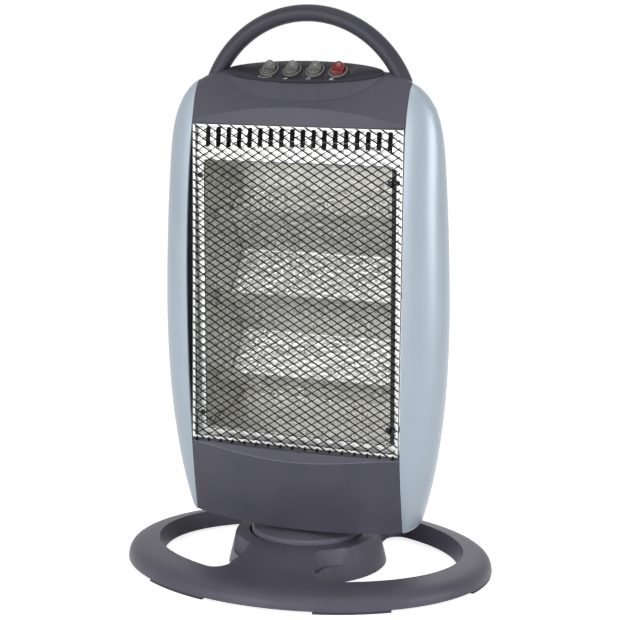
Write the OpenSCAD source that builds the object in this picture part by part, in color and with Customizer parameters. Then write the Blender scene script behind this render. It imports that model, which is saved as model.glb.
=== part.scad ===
// Free-standing halogen heater: three horizontal quartz lamps in a folded reflector behind a wire
// guard, an upright oval body that swings on a round pedestal, an arched carrying handle and an
// oval ring base. X is to the right, Y to the back, Z up; the origin is under the swivel axis.

/* [Base] */
// Width of the oval ring base
ring_w = 402; // [370:1:440]
// Depth of the oval ring base
ring_d = 320; // [304:1:340]
// Width of the ring's band at its sides
band_w = 32; // [26:1:38]
// Width of the ring's band at front and back
band_d = 31; // [27:1:36]
// Height of the ring's crown above the floor
ring_h = 21; // [18:0.5:24]
// Wall of the base moulding
base_wall = 2.8; // [2.2:0.1:3.4]
// How far the openings' middle lies behind the swivel axis
ring_shift = 4; // [0:0.5:5]
// Thickness of the foot pads
pad_h = 3; // [2:0.25:4]
// Width of the foot pads
pad_w = 13; // [9:0.5:16]
// Radius of the pedestal at its rim
rim_r = 76; // [72:0.5:80]
// Radius of the pedestal at its foot
cone_r = 86; // [83:0.5:90]
// Height of the pedestal's rim above the floor
rim_h = 37.5; // [36:0.5:40]
// Thickness of the deck that carries the swivel
deck_t = 3; // [2.5:0.25:4]
// Depth of the well in the pedestal, from its rim to the deck
well_depth = 13.5; // [12.5:0.5:15]
// Half width of the web that joins pedestal and ring
web_half = 58; // [48:1:66]
// Radius of the round dents beside the pedestal's apron
scallop_r = 31; // [26:1:34]
// Radius of the ring openings' corners
hole_round = 14; // [8:1:18]

/* [Swivel] */
// Radius of the swivel disc
disc_r = 60; // [56:0.5:62]
// Height of the swivel disc's edge above the floor
disc_edge = 42; // [41:0.5:43.5]
// Radius of the hollow swivel shaft
shaft_r = 6; // [5.5:0.1:6.2]
// Distance from the swivel axis to the motor's shaft
motor_offset = 24; // [22:0.5:25]
// Throw of the crank pin
crank_throw = 13.75; // [12.5:0.25:14.25]
// Radius of the crank pin
pin_r = 2.5; // [2:0.25:2.75]
// Side clearance of the crank pin in its slot
pin_play = 1.1; // [0.9:0.1:1.6]
// Radius of the oscillation motor
motor_r = 21; // [18:0.5:22]
// Height of the oscillation motor
motor_h = 21; // [17:0.5:24]

/* [Body] */
// Height of the body's lower corners above the floor
body_bottom = 54; // [51:0.5:57]
// How far the lower edge dips in the middle
foot_dip = 4; // [2:0.5:6]
// Height at which the body is widest
wide_level = 285; // [260:1:310]
// Height of the side shells' top
shoulder_top = 515.5; // [508:0.5:522]
// Height of the top cover's crown
crown_top = 528; // [523:0.5:534]
// Half distance between the side shells' front edges
front_half = 117; // [112:0.5:122]
// How far a side shell swells past its front edge
side_swell = 37.4; // [33:0.1:42]
// The same swell towards the shoulder
shoulder_swell = 29.8; // [26:0.1:32]
// Swell of the side shells at their lower end
foot_swell = 10.6; // [9:0.2:14]
// Radius of the side shells' lower corner
foot_round = 5; // [4:0.5:7]
// Height of the side shells' rounded shoulder
shoulder_round = 65.5; // [50:0.5:75]
// How far the front edges bow outwards beside the guard
edge_bow = 2.4; // [0:0.2:3.4]
// Depth of the body's edge in front of its mid-plane
front_depth = 36.5; // [34:0.5:40]
// The same depth at the lower end
foot_front_depth = 19.5; // [17:0.5:24]
// Depth of the body's edge behind its mid-plane
rear_depth = 46; // [44:0.5:50]
// The same depth at the lower end
foot_rear_depth = 30; // [26:0.5:34]
// Crown of the front above the guard
front_bow = 6.2; // [3:0.2:8]
// Crown of the lower panel at its lower edge
foot_bow = 12.5; // [8:0.5:16]
// Crown of the lower panel at its crease
chin_bow = 15; // [11:0.5:18]
// Rise of the arched crease above the guard
arch_rise = 15.9; // [10:0.5:18]
// Drop of the curved crease below the guard
chin_drop = 11.6; // [6:0.4:14]
// Crown of the back between the side shells
rear_bow = 22; // [20:0.5:26]
// Height of the seam between top cover and rear cover
rear_seam = 490; // [482:1:494]
// Wall of the plastic shells
shell_wall = 2.6; // [2:0.1:3.2]
// Gap between neighbouring shells
seam = 0.4; // [0.2:0.05:0.6]

/* [Guard] */
// Height of the guard opening's lower edge
grille_bottom = 136; // [130:0.5:142]
// Height of the guard opening's upper edge
grille_top = 472; // [465:0.5:478]
// Y of the guard at its lower edge
guard_foot_y = -42; // [-43:0.25:-40]
// Y of the guard at its upper edge
guard_head_y = -33; // [-34:0.25:-31.5]
// Width of one mesh diamond
mesh_w = 13.8; // [12:0.1:20]
// Height of one mesh diamond
mesh_h = 8.35; // [7.5:0.05:12]
// Thickness of the mesh wire
mesh_wire = 1.1; // [1:0.1:1.5]
// Thickness of the guard's edge wire
edge_wire = 2.6; // [2:0.1:3]

/* [Reflector] */
// Half width of the reflector
mirror_half = 104; // [100:0.5:105]
// Thickness of the reflector sheet
sheet_t = 0.8; // [0.6:0.1:1]
// Depth of the folds' valleys behind the front plate
valley_depth = 66; // [60:1:67]
// Height of the folds' ridges
ridge_h = 22; // [14:1:26]
// Angle at which the reflector's end plates open to the front
end_splay = 12; // [6:1:14]
// Height of the window's lower edge above the guard opening's
window_foot = 10; // [8:0.5:12]
// Height of the window's upper edge above the guard opening's lower edge
window_head = 298; // [292:0.5:300]
// Number of air slots above the window
slot_count = 18; // [12:1:18]
// Distance between air slots
slot_pitch = 11.8; // [10:0.1:12.2]
// Width of an air slot
slot_w = 4; // [3:0.25:5]

/* [Lamps] */
// Number of lamps
lamp_count = 3; // [2:1:3]
// Distance between lamps
lamp_pitch = 88; // [80:1:90]
// Depth of the lamps behind the front plate
lamp_depth = 21; // [18:1:26]
// Radius of a lamp tube
tube_r = 5; // [4:0.25:6]
// Wall of a lamp tube
tube_wall = 1; // [0.8:0.1:1.2]
// Length of a lamp tube
tube_l = 224; // [222:1:228]
// Radius of a ceramic end cap
cap_r = 9; // [8:0.25:10]
// Length of a ceramic end cap
cap_l = 13; // [12:0.5:14]

/* [Controls] */
// Half width of the lens-shaped control panel
lens_half = 86; // [82:0.5:88]
// Height of the panel's pointed ends above the floor
lens_level = 527; // [526:0.2:530]
// Depth of the panel in front of its corners
lens_front = 19.3; // [17.5:0.3:20.5]
// Depth of the panel behind its corners
lens_back = 15.7; // [14.5:0.3:17]
// Tilt of the control panel
lens_tilt = 34; // [31:0.5:36]
// Thickness of the control panel
lens_t = 2; // [1.6:0.1:2.4]
// Distance between switches
switch_pitch = 25.3; // [24:0.1:27]
// Radius of a switch bezel
bezel_r = 10.3; // [10:0.1:11]
// Height of a switch bezel
bezel_h = 2; // [1.6:0.1:2.6]
// Width of a rocker
rocker_w = 13.8; // [12:0.2:14.4]
// Radius of the ball that a rocker is cut from
rocker_r = 8; // [7.6:0.1:8.2]
// Tilt of a rocker to either side
rocker_tilt = 12; // [9:0.5:13]
// Slope of a rocker's two faces
rocker_fold = 14; // [10:0.5:16]

/* [Handle] */
// Height of the handle's top above the floor
handle_top = 593; // [588:1:606]
// Radius of the handle's arch, to the middle of the grip
arch_r = 113.7; // [110:0.5:116]
// Radius of the grip
grip_r = 8.7; // [8.2:0.1:9.6]

/* [Hidden] */
$fn = 64;

// Fits
run_fit = 0.08;     // radial clearance of a shaft that turns
slack = 0.3;        // clearance of parts that are fitted together
mid_y = -9;         // the body's mid-plane, in front of the swivel axis

dark = "#5b5966";
silver = "#b9c6d0";
bright = "#d8d8d4";
steel = "#9a9a98";
black = "#1d1d1f";
grey = "#6b6c68";

// Heights in the base and the swivel
deck_top = rim_h - well_depth;
deck_under = deck_top - deck_t;
race_t = 1.7;                            // bearing ring under the disc
skirt_foot = deck_top + race_t + slack;
skirt_t = 3;
arm_z = deck_top + 12;                   // crank arm's underside
arm_t = 3;
disc_under = arm_z + arm_t + 1;
disc_plate_t = 2.6;
disc_crown = 4;                          // rise of the disc's top to its hub
hub_r = 14;
plate_z = body_bottom + 3;               // chassis plate's underside
plate_t = 1.5;
plate_top = plate_z + plate_t;
motor_z = plate_top + 3;
motor_y = motor_offset - 7;              // the motor's shaft sits off its middle
motor_shaft_r = 3;
swing = asin(crank_throw / motor_offset);
boss_at = 46;                            // screw bosses, from the axis in X and in Y
boss_r = 4.5;
cover_z = pad_h + 0.2;                   // bottom plate's underside
cover_t = 1.2;
tip_y = -boss_at;
tip_rod_r = 2.5;

// Heights and depths in the body
guard_h = grille_top - grille_bottom;
guard_mid = (grille_top + grille_bottom) / 2;
shell_h = shoulder_top - wide_level;
foot_h = wide_level - body_bottom;
plate_y = guard_head_y + 2.6;            // front plate's face
plate_bend = grille_bottom + window_head + 9;
plate_lean = 4;                          // how far the slotted band leans back
window_low = grille_bottom + window_foot;
window_high = grille_bottom + window_head;
lamp_mid = (window_low + window_high) / 2 - 3;
lamp_y = plate_y + lamp_depth;
frame_x = front_half - 2.4;              // side frame's web
frame_t = 1;
flange_w = 8;
mesh_half = front_half - 4;
tab_x = 0.6 * front_half;                // rear tabs and their screws
flange_level = shoulder_top - 8;         // top tab that carries the handle
mesh_low = grille_bottom + 4;
mesh_high = grille_top - 3.5;
arch_z = handle_top - grip_r - arch_r;   // middle of the handle's arch
arch_start = asin((flange_level + 6.6 - arch_z) / arch_r);
leg_x = arch_r * cos(arch_start);

// Points along a circle of directions
function turn(n) = [for (i = [0 : n - 1]) 360 * i / n];
function ellipse(a, b, n = 72) = [for (t = turn(n)) [a * cos(t), ring_shift + b * sin(t)]];
function mix(a, b, q) = a + (b - a) * q;
function unit(v) = v / max(norm(v), 1e-6);
function flat_to(v, keep) = unit([v.x * keep.x, v.y * keep.y, v.z * keep.z]);

// Form of the body: half width of the front, swell of the sides, depths of front and back
function half_at(z) = front_half + edge_bow * max(0, 1 - pow((z - guard_mid) / (guard_h / 2), 2));
function rise_of(z) = min(1, (z - wide_level) / shell_h);
function fall_of(z) = min(1, (wide_level - z) / foot_h);
function dome(t) = pow(max(0, 1 - pow(t, 2.2)), 1 / 2.2);
function shoulder_of(z) = min(1, max(0, 1 - (shoulder_top - z) / shoulder_round));
function swell_at(z) = z > wide_level
    ? mix(side_swell, shoulder_swell, pow(rise_of(z), 1.2)) * pow(1 - pow(shoulder_of(z), 2.4), 0.73)
    : mix(side_swell, foot_swell, pow(fall_of(z), 3));
function front_at(z) = z > wide_level
    ? front_depth * dome(rise_of(z))
    : mix(front_depth, foot_front_depth, pow(fall_of(z), 3));
function rear_at(z) = z > wide_level
    ? rear_depth * dome(rise_of(z))
    : mix(rear_depth, foot_rear_depth, pow(fall_of(z), 3));
function rear_y(s, z) = mid_y + rear_at(z) + rear_bow * (1 - pow(abs(s), 6));

// Form of the top: its crease, its ridge and the surface before and behind the ridge
function crease_y(s) = mid_y - front_at(grille_top) - front_bow * (1 - s * s);
function crease_z(s) = grille_top + 2.6 + arch_rise * (1 - s * s);
function ridge_y(s) = mix(6, mid_y, s * s);
function ridge_z(s) = mix(crown_top, shoulder_top, pow(abs(s), 7));
function seam_y(s) = rear_y(s, rear_seam);
function fore_z(s, q) = ridge_z(s) - (ridge_z(s) - crease_z(s)) * pow(q, mix(1.45, 2.1, s * s));
function aft_z(s, q) = ridge_z(s) - (ridge_z(s) - rear_seam) * pow(q, 2.3);
function top_z(s, y) = y < ridge_y(s)
    ? fore_z(s, (ridge_y(s) - y) / (ridge_y(s) - crease_y(s)))
    : aft_z(s, (y - ridge_y(s)) / (seam_y(s) - ridge_y(s)));

// A closed sheet between two grids of points
module sheet(outer, inner) {
    rows = len(outer);
    cols = len(outer[0]);
    count = rows * cols;
    rim = concat(
        [for (j = [0 : cols - 1]) j],
        [for (i = [1 : rows - 1]) i * cols + cols - 1],
        [for (j = [cols - 2 : -1 : 0]) (rows - 1) * cols + j],
        [for (i = [rows - 2 : -1 : 1]) i * cols]
    );
    skins = [
        for (i = [0 : rows - 2], j = [0 : cols - 2])
            let (a = i * cols + j, b = a + 1, c = b + cols, d = a + cols)
                each [
                    [a, b, c], [a, c, d],
                    [a + count, c + count, b + count], [a + count, d + count, c + count]
                ]
    ];
    edges = [
        for (k = [0 : len(rim) - 1])
            let (p = rim[k], q = rim[(k + 1) % len(rim)])
                each [[q, p, p + count], [q, p + count, q + count]]
    ];
    polyhedron(
        points = concat([for (r = outer) each r], [for (r = inner) each r]),
        faces = concat(skins, edges)
    );
}

// The same grid moved inwards by a wall; the outermost rows and columns keep their own planes
function normal_at(g, i, j) =
    let (
        up = g[min(i + 1, len(g) - 1)][j] - g[max(i - 1, 0)][j],
        across = g[i][min(j + 1, len(g[0]) - 1)] - g[i][max(j - 1, 0)]
    ) unit(cross(across, up));
function inset_grid(g, wall, keep_z = [1, 1]) = [
    for (i = [0 : len(g) - 1]) [
        for (j = [0 : len(g[0]) - 1])
            let (
                side = j == 0 || j == len(g[0]) - 1,
                level = i == 0 ? keep_z[0] : i == len(g) - 1 ? keep_z[1] : 1
            ) g[i][j] - wall * flat_to(normal_at(g, i, j), [side ? 0 : 1, 1, level])
    ]
];

// ---- Base ----

// Closed mound over the whole base, drawn in by a wall
module mound(wall) {
    steps = 60;
    edge = [[0, pad_h - wall], [0.7, 8.5], [2.5, 12.3], [6, 15.4], [11, 17.4], [18, 19.2]];
    slope = [0, 0.3, 0.55, 0.78, 1];
    rim = rim_r - wall;
    rings = concat(
        [for (e = edge) [for (t = turn(steps)) [
            (ring_w / 2 - e[0] - wall) * cos(t),
            (ring_d / 2 - e[0] - wall) * sin(t),
            e[1] * (ring_h / 21) - (e == edge[0] ? 0 : wall)
        ]]],
        [for (q = slope) [for (t = turn(steps)) [
            mix(ring_w / 2 - band_w, rim, q) * cos(t),
            mix(ring_shift + (ring_d / 2 - band_d) * sin(t), rim * sin(t), q),
            mix(ring_h, rim_h, pow(q, 1.6)) - wall
        ]]]
    );
    last = len(rings) - 1;
    sides = [
        for (i = [0 : last - 1], j = [0 : steps - 1])
            let (k = (j + 1) % steps, a = i * steps + j, b = i * steps + k)
                each [[a, b + steps, b], [a, a + steps, b + steps]]
    ];
    polyhedron(
        points = [for (r = rings) each r],
        faces = concat(
            sides, [[for (j = [0 : steps - 1]) j]],
            [[for (j = [steps - 1 : -1 : 0]) last * steps + j]]
        )
    );
}

// Outline of the right opening at the floor, grown by a wall
module opening_outline(wall) {
    offset(delta = wall)
        offset(r = hole_round, $fn = 40)
            offset(delta = -hole_round)
                difference() {
                    polygon(ellipse(ring_w / 2 - band_w - 6, ring_d / 2 - band_d - 15));
                    circle(r = cone_r);
                    translate([-ring_w, -ring_d])
                        square([ring_w + web_half, 2 * ring_d]);
                }
}

// Both openings, wider at the top
module openings(wall) {
    middle = (cone_r + ring_w / 2 - band_w - 6) / 2;
    for (side = [0, 1])
        mirror([side, 0, 0])
            translate([middle, ring_shift, -1])
                linear_extrude(height = 42, scale = [1.32, 1.27], slices = 2)
                    translate([-middle, -ring_shift])
                        opening_outline(wall);
}

// Dents that set the round pedestal free from its apron; their walls lean
module scallops(wall) {
    lean = 7;
    difference() {
        for (x = [-1, 1], y = [-1, 1])
            translate([x * (rim_r - 6), y * (rim_r + 4), ring_h - wall])
                cylinder(r1 = scallop_r - lean / 2 + wall, r2 = scallop_r + 1.5 * lean + wall, h = rim_h);
        translate([0, 0, ring_h - wall - 1])
            cylinder(
                r1 = rim_r + 6 - wall, r2 = rim_r + 6 - wall - 5 * rim_h / (rim_h - ring_h),
                h = rim_h + 2
            );
    }
}

module boss_places() {
    for (x = [-boss_at, boss_at], y = [-boss_at, boss_at])
        translate([x, y, 0])
            children();
}

module base_ring() {
    well_r = disc_r + 2.5;
    color(dark)
    difference() {
        mound(0);
        difference() {
            mound(base_wall);
            openings(base_wall);
            scallops(base_wall);
            translate([0, 0, deck_under])
                cylinder(r = well_r + base_wall, h = rim_h);
            translate([0, 0, deck_under - 6])
                cylinder(r = 2 * shaft_r, h = rim_h);
            boss_places()
                translate([0, 0, cover_z + cover_t])
                    cylinder(r = boss_r, h = rim_h);
        }
        openings(0);
        scallops(0);
        translate([0, 0, deck_top])
            cylinder(r = well_r, h = rim_h);
        cylinder(r = shaft_r + run_fit, h = rim_h);
        boss_places()
            cylinder(r = 1.5, h = deck_under - 2);
    }
}

module foot_pads() {
    sweep = 12;
    color(black)
    for (middle = [0, 59, 118, 180, 242, 301])
        linear_extrude(height = pad_h)
            polygon([
                for (t = [-sweep : 2 : sweep])
                    [(ring_w / 2 - 1) * cos(middle + t), (ring_d / 2 - 1) * sin(middle + t)],
                for (t = [sweep : -2 : -sweep])
                    [(ring_w / 2 - pad_w) * cos(middle + t), (ring_d / 2 - pad_w) * sin(middle + t)]
            ]);
}

module bottom_plate() {
    color(steel)
    translate([0, 0, cover_z])
        difference() {
            cylinder(r = cone_r - 2.5 * base_wall, h = cover_t);
            translate([0, tip_y, -1])
                cylinder(r = tip_rod_r + slack, h = 4);
            boss_places()
                translate([0, 0, -1])
                    cylinder(r = 1.8, h = 4);
            for (a = [0 : 30 : 330])
                rotate(a)
                    translate([24, -2, -1])
                        cube([12, 4, 4]);
        }
}

// Pan-head screw standing on its head, its shank pointing up
module screw(head_r, head_h, shank_r, shank_l) {
    cylinder(r = head_r, h = head_h);
    translate([0, 0, head_h])
        cylinder(r = shank_r, h = shank_l);
}

module bottom_screws() {
    color(steel)
    boss_places()
        translate([0, 0, cover_z - 2])
            screw(3.2, 2, 1.4, 14);
}

module bearing_ring() {
    color(bright)
    translate([0, 0, deck_top])
        rotate_extrude()
            translate([disc_r - skirt_t - 1, 0])
                square([skirt_t + 1.6, race_t]);
}

// Plate with the straight slot that the crank pin works in
module slot_plate() {
    far = motor_offset + crank_throw + pin_r + pin_play;
    half = pin_r + pin_play;
    color(bright)
    translate([0, 0, deck_top])
        difference() {
            translate([-half - 4, 0, 0])
                cube([2 * half + 8, far + 4, 6]);
            translate([-half, 0, -1])
                cube([2 * half, far - half, 9]);
            translate([0, far - half, -1])
                cylinder(r = half, h = 9);
            translate([0, 0, -1])
                cylinder(r = shaft_r + 2, h = 9);
        }
}

module tip_switch() {
    low = cover_z + cover_t;
    color(black)
    difference() {
        translate([-8, tip_y - 8, low])
            cube([16, 16, deck_under - low]);
        translate([0, tip_y, low - 1])
            cylinder(r = tip_rod_r + 0.1, h = 4);
        translate([0, tip_y, low + 1.5])
            cylinder(r = tip_rod_r + 2, h = 13);
    }
}

module tip_plunger() {
    color(bright)
    translate([0, tip_y, 0]) {
        cylinder(r = tip_rod_r, h = 12.4);
        translate([0, 0, 12.4])
            cylinder(r = tip_rod_r + 1.5, h = 2);
    }
}

// ---- Swivel ----

module swivel_disc() {
    crown = disc_edge + disc_crown;
    color(dark)
    difference() {
        rotate_extrude()
            polygon(concat(
                [
                    [disc_r - skirt_t, skirt_foot], [disc_r, skirt_foot],
                    [disc_r, disc_edge - 1.5], [disc_r - 1.5, disc_edge]
                ],
                [for (q = [0.25 : 0.25 : 1])
                    [mix(disc_r, hub_r + 2, q), disc_edge + disc_crown * sin(90 * q)]],
                [[hub_r, crown + 1], [hub_r, plate_z], [shaft_r + 0.05, plate_z],
                    [shaft_r + 0.05, disc_under],
                    [disc_r - skirt_t - 3, disc_under], [disc_r - skirt_t, disc_under - 3]]
            ));
        translate([0, motor_offset, disc_under - 1])
            cylinder(r = motor_shaft_r + 1, h = 20);
    }
}

module swivel_shaft() {
    color(steel)
    difference() {
        union() {
            translate([0, 0, deck_under - 14])
                cylinder(r = shaft_r, h = plate_top - deck_under + 14);
            translate([0, 0, plate_top])
                cylinder(r = shaft_r + 2, h = 1.5);
        }
        translate([0, 0, deck_under - 15])
            cylinder(r = shaft_r - 1.8, h = 60);
    }
}

module shaft_nut() {
    color(steel)
    translate([0, 0, deck_under - 6.3])
        difference() {
            union() {
                translate([0, 0, -1.2])
                    cylinder(r = 2 * shaft_r - 1, h = 1.2);
                translate([0, 0, -5.2])
                    cylinder(r = 1.6 * shaft_r, h = 4, $fn = 6);
            }
            translate([0, 0, -8])
                cylinder(r = shaft_r + 0.05, h = 12);
        }
}

module chassis_plate() {
    chassis_sheet();
    color(steel)
    rear_tabs();
}

// Upturned tabs that the rear cover is screwed to
module rear_tabs() {
    for (x = [-tab_x, tab_x])
        let (y = rear_y(x / front_half, plate_z) - shell_wall - 3.8) {
            translate([x - 6, y - 10, plate_z])
                cube([12, 11.2, plate_t]);
            difference() {
                translate([x - 6, y, plate_z])
                    cube([12, 1.2, 18]);
                rear_screw_places()
                    cylinder(r = 1.6, h = 30, center = true);
            }
        }
}

vent_y = [-18, 10];                       // reach of the air slots in the chassis sheet
module chassis_sheet() {
    edge = 1.2 + shell_wall;
    stations = [for (i = [-8 : 8]) i / 8];
    color(steel)
    translate([0, 0, plate_z])
        difference() {
            linear_extrude(height = plate_t)
                polygon([
                    for (s = stations)
                        [s * (frame_x - 2), panel_y(s, plate_z) + edge],
                    for (i = [len(stations) - 1 : -1 : 0])
                        [stations[i] * (frame_x - 2), rear_y(stations[i], plate_z) - edge - 2]
                ]);
            translate([0, 0, -1])
                cylinder(r = shaft_r + 0.05, h = 4);
            translate([0, motor_offset, -1])
                cylinder(r = motor_shaft_r + 1, h = 4);
            for (x = [-1, 1])
                translate([x * (hub_r - 4.5), -6, -1])
                    cylinder(r = 1.6, h = 4);
            for (x = [-1, 1], i = [0 : 4])
                translate([x * (48 + 10 * i) - 2, vent_y[0], -1])
                    cube([4, vent_y[1] - vent_y[0], 4]);
        }
}

// Screws that hold the plate on the disc's hub, and the motor's two spacers
module chassis_screws() {
    color(steel) {
        for (x = [-1, 1])
            translate([x * (hub_r - 4.5), -6, plate_top + 1.6])
                rotate([180, 0, 0])
                    screw(2.6, 1.6, 1.5, plate_t);
        for (x = [-1, 1])
            translate([x * (motor_r - 4), motor_y + 9, plate_top])
                cylinder(r = 2.5, h = motor_z - plate_top);
    }
}

module crank_arm() {
    end_r = pin_r + 1.1;
    color(bright) {
        translate([0, motor_offset, arm_z])
            cylinder(r = motor_shaft_r, h = motor_z + 8 - arm_z);
        translate([0, motor_offset, arm_z])
            cylinder(r = motor_shaft_r + 1.5, h = arm_t);
        translate([0, motor_offset + crank_throw, arm_z])
            cylinder(r = end_r, h = arm_t);
        translate([-end_r, motor_offset, arm_z])
            cube([2 * end_r, crank_throw, arm_t]);
        translate([0, motor_offset + crank_throw, deck_top + 1.5])
            cylinder(r = pin_r, h = arm_z - deck_top - 1.5);
    }
}

module swing_motor() {
    color(steel)
    difference() {
        translate([0, motor_y, motor_z]) {
            cylinder(r = motor_r, h = motor_h - 1.5);
            cylinder(r = motor_r - 1.5, h = motor_h);
            translate([-8, motor_r - 3, 4])
                cube([16, 6, 9]);
        }
        translate([0, motor_offset, motor_z - 1])
            cylinder(r = motor_shaft_r + run_fit, h = 10);
    }
}

// ---- Body shells ----

// Form of the lower panel between its lower edge and its curved crease
function panel_foot(s) = body_bottom - foot_dip * (1 - s * s) - 2 * (1 - pow(s, 4));
function chin_z(s) = grille_bottom - 2.5 - (chin_drop - 2.5) * pow(max(0, 1 - s * s), 1.74);
function panel_y(s, z) = mid_y - front_at(z)
    - mix(foot_bow, chin_bow, max(0, z - body_bottom) / (grille_bottom - body_bottom)) * (1 - s * s);

module lower_panel() {
    half = front_half - seam / 2;
    lip = 9;
    edge_y = guard_foot_y + 7;
    stations = [for (u = [-90 : 9 : 90]) sin(u)];
    levels = [0, 0.3, 0.6, 0.85, 1];
    grid = concat(
        [[for (s = stations) [s * half, panel_y(s, body_bottom) + lip, panel_foot(s)]]],
        [for (q = levels) [for (s = stations) [s * half, panel_y(s, mix(panel_foot(s), chin_z(s), q)),
            mix(panel_foot(s), chin_z(s), q)]]],
        [[for (s = stations) [s * half, panel_y(s, chin_z(s)) + 1, grille_bottom - 0.6]]],
        [[for (s = stations) [s * half, edge_y, grille_bottom]]]
    );
    color(dark)
        sheet(grid, inset_grid(grid, shell_wall, [1, 1]));
}

module top_cover() {
    half = front_half - seam / 2;
    stations = [for (u = [-90 : 7.5 : 90]) sin(u)];
    fore = [0.8, 0.6, 0.42, 0.25, 0.1];
    aft = [0, 0.25, 0.45, 0.65, 0.85, 1];
    grid = concat(
        [[for (s = stations) [s * half, crease_y(s), grille_top]]],
        [[for (s = stations) [s * half, crease_y(s), crease_z(s)]]],
        [for (q = fore) [for (s = stations) [s * half, mix(ridge_y(s), crease_y(s), q), fore_z(s, q)]]],
        [for (q = aft) [for (s = stations) [s * half, mix(ridge_y(s), seam_y(s), q), aft_z(s, q)]]]
    );
    color(dark)
    difference() {
        sheet(grid, inset_grid(grid, shell_wall, [0, 0]));
        arch(grip_r + slack, arch_start - 8);
        on_panel()
            translate([-1.5 * switch_pitch - switch_body_r - 0.8, switch_v - switch_body_r - 0.8, -30])
                cube([3 * switch_pitch + 2 * switch_body_r + 1.6, 2 * switch_body_r + 1.6, 42]);
    }
}

notch_z = grille_top + 22;               // finger recess high on the right shell
notch_lean = 62;
notch_size = [15, 11, 3.6];

// One side shell: a bowl open towards the middle, with a rounded lower corner
function shell_rows() = concat(
    [
        [body_bottom, 0], [body_bottom, foot_swell - foot_round],
        [body_bottom + 0.3 * foot_round, foot_swell - 0.3 * foot_round]
    ],
    [for (z = [body_bottom + foot_round, 85, 110, grille_bottom, 170, 210, 250]) [z, swell_at(z)]],
    [for (u = [0, 12, 24, 36, 46, 55, 63, 70, 76, 81, 85.5])
        let (z = wide_level + shell_h * sin(u)) [z, swell_at(z)]],
    [[shoulder_top, 0]]
);

function inset(reach, wall) = reach * max(0.4, 1 - wall / reach);

function shell_grid(wall) = [
    for (r = shell_rows())
        let (
            z = r[0],
            end = z >= shoulder_top,
            fore = end ? 2 : front_at(z),
            rear = end ? 2 : rear_at(z),
            thin = max(0.4, 1 - wall / max(r[1], 0.1)),
            shrink = 1 - wall / shell_h
        ) [
            for (a = [-90 : 15 : 90]) [
                half_at(z) + seam / 2 + r[1] * thin * cos(a),
                mid_y + (a < 0 ? inset(fore, wall) : inset(rear, wall)) * sin(a),
                wide_level + (z - wide_level) * shrink
            ]
        ]
];

module right_shell() {
    color(silver)
    difference() {
        sheet(shell_grid(0), shell_grid(shell_wall));
        translate([half_at(notch_z) + swell_at(notch_z), mid_y, notch_z])
            rotate([0, notch_lean, 0])
                cube(notch_size, center = true);
    }
}

module left_shell() {
    color(silver)
        mirror([1, 0, 0])
            sheet(shell_grid(0), shell_grid(shell_wall));
}

gland_x = 60;
gland_z = 76;
gland_r = 6;

// Louvred inserts of the rear cover: slats between upright rails that follow its curve
louvre_half = 80;
louvre_windows = [[300, 448], [100, 156]];
louvre_pitch = 10;
function louvre_y(z) = rear_y(0.35, z);

module rear_louvres() {
    rail = 4;
    slat_t = 1.8;
    slope = 5;
    color(dark)
    for (w = louvre_windows) {
        steps = round((w[1] - w[0]) / louvre_pitch);
        levels = [for (k = [0 : steps]) mix(w[0], w[1], k / steps)];
        for (x = [-louvre_half, -rail / 2, louvre_half - rail])
            translate([x, 0, 0])
                rotate([90, 0, 90])
                    linear_extrude(height = rail)
                        polygon(concat(
                            [for (z = levels) [louvre_y(z), z]],
                            [for (k = [steps : -1 : 0]) [louvre_y(levels[k]) - 3 * shell_wall, levels[k]]]
                        ));
        for (k = [0 : steps - 1])
            let (z = mix(levels[k], levels[k + 1], 0.35), y = louvre_y(z) - 0.4)
                translate([-louvre_half + 1, 0, 0])
                    rotate([90, 0, 90])
                        linear_extrude(height = 2 * louvre_half - 2)
                            polygon([
                                [y, z], [y, z + slat_t],
                                [y - slope, z + slat_t + slope], [y - slope, z + slope]
                            ]);
    }
}

module rear_cover() {
    half = front_half - seam / 2;
    stations = [for (u = [-90 : 11.25 : 90]) sin(u)];
    levels = [body_bottom, 62, 85, 115, 160, 215, 270, 320, 370, 410, 440, 465, rear_seam - seam];
    grid = [
        for (z = levels) [
            for (s = stations) [s * half, rear_y(s, z) - (z == body_bottom ? 3 : 0), z]
        ]
    ];
    color(dark)
    difference() {
        mirror([0, 1, 0])
            sheet(
                [for (r = grid) [for (p = r) [p.x, -p.y, p.z]]],
                inset_grid([for (r = grid) [for (p = r) [p.x, -p.y, p.z]]], shell_wall, [0, 0])
            );
        for (w = louvre_windows)
            translate([-louvre_half - slack, 20, w[0] - slack])
                cube([2 * (louvre_half + slack), 50, w[1] - w[0] + 2 * slack]);
        gland_place()
            cylinder(r = gland_r + 0.1, h = 40, center = true);
        rear_screw_places()
            cylinder(r = 1.8, h = 20, center = true);
    }
}

// ---- Frames, guard and reflector ----

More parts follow.
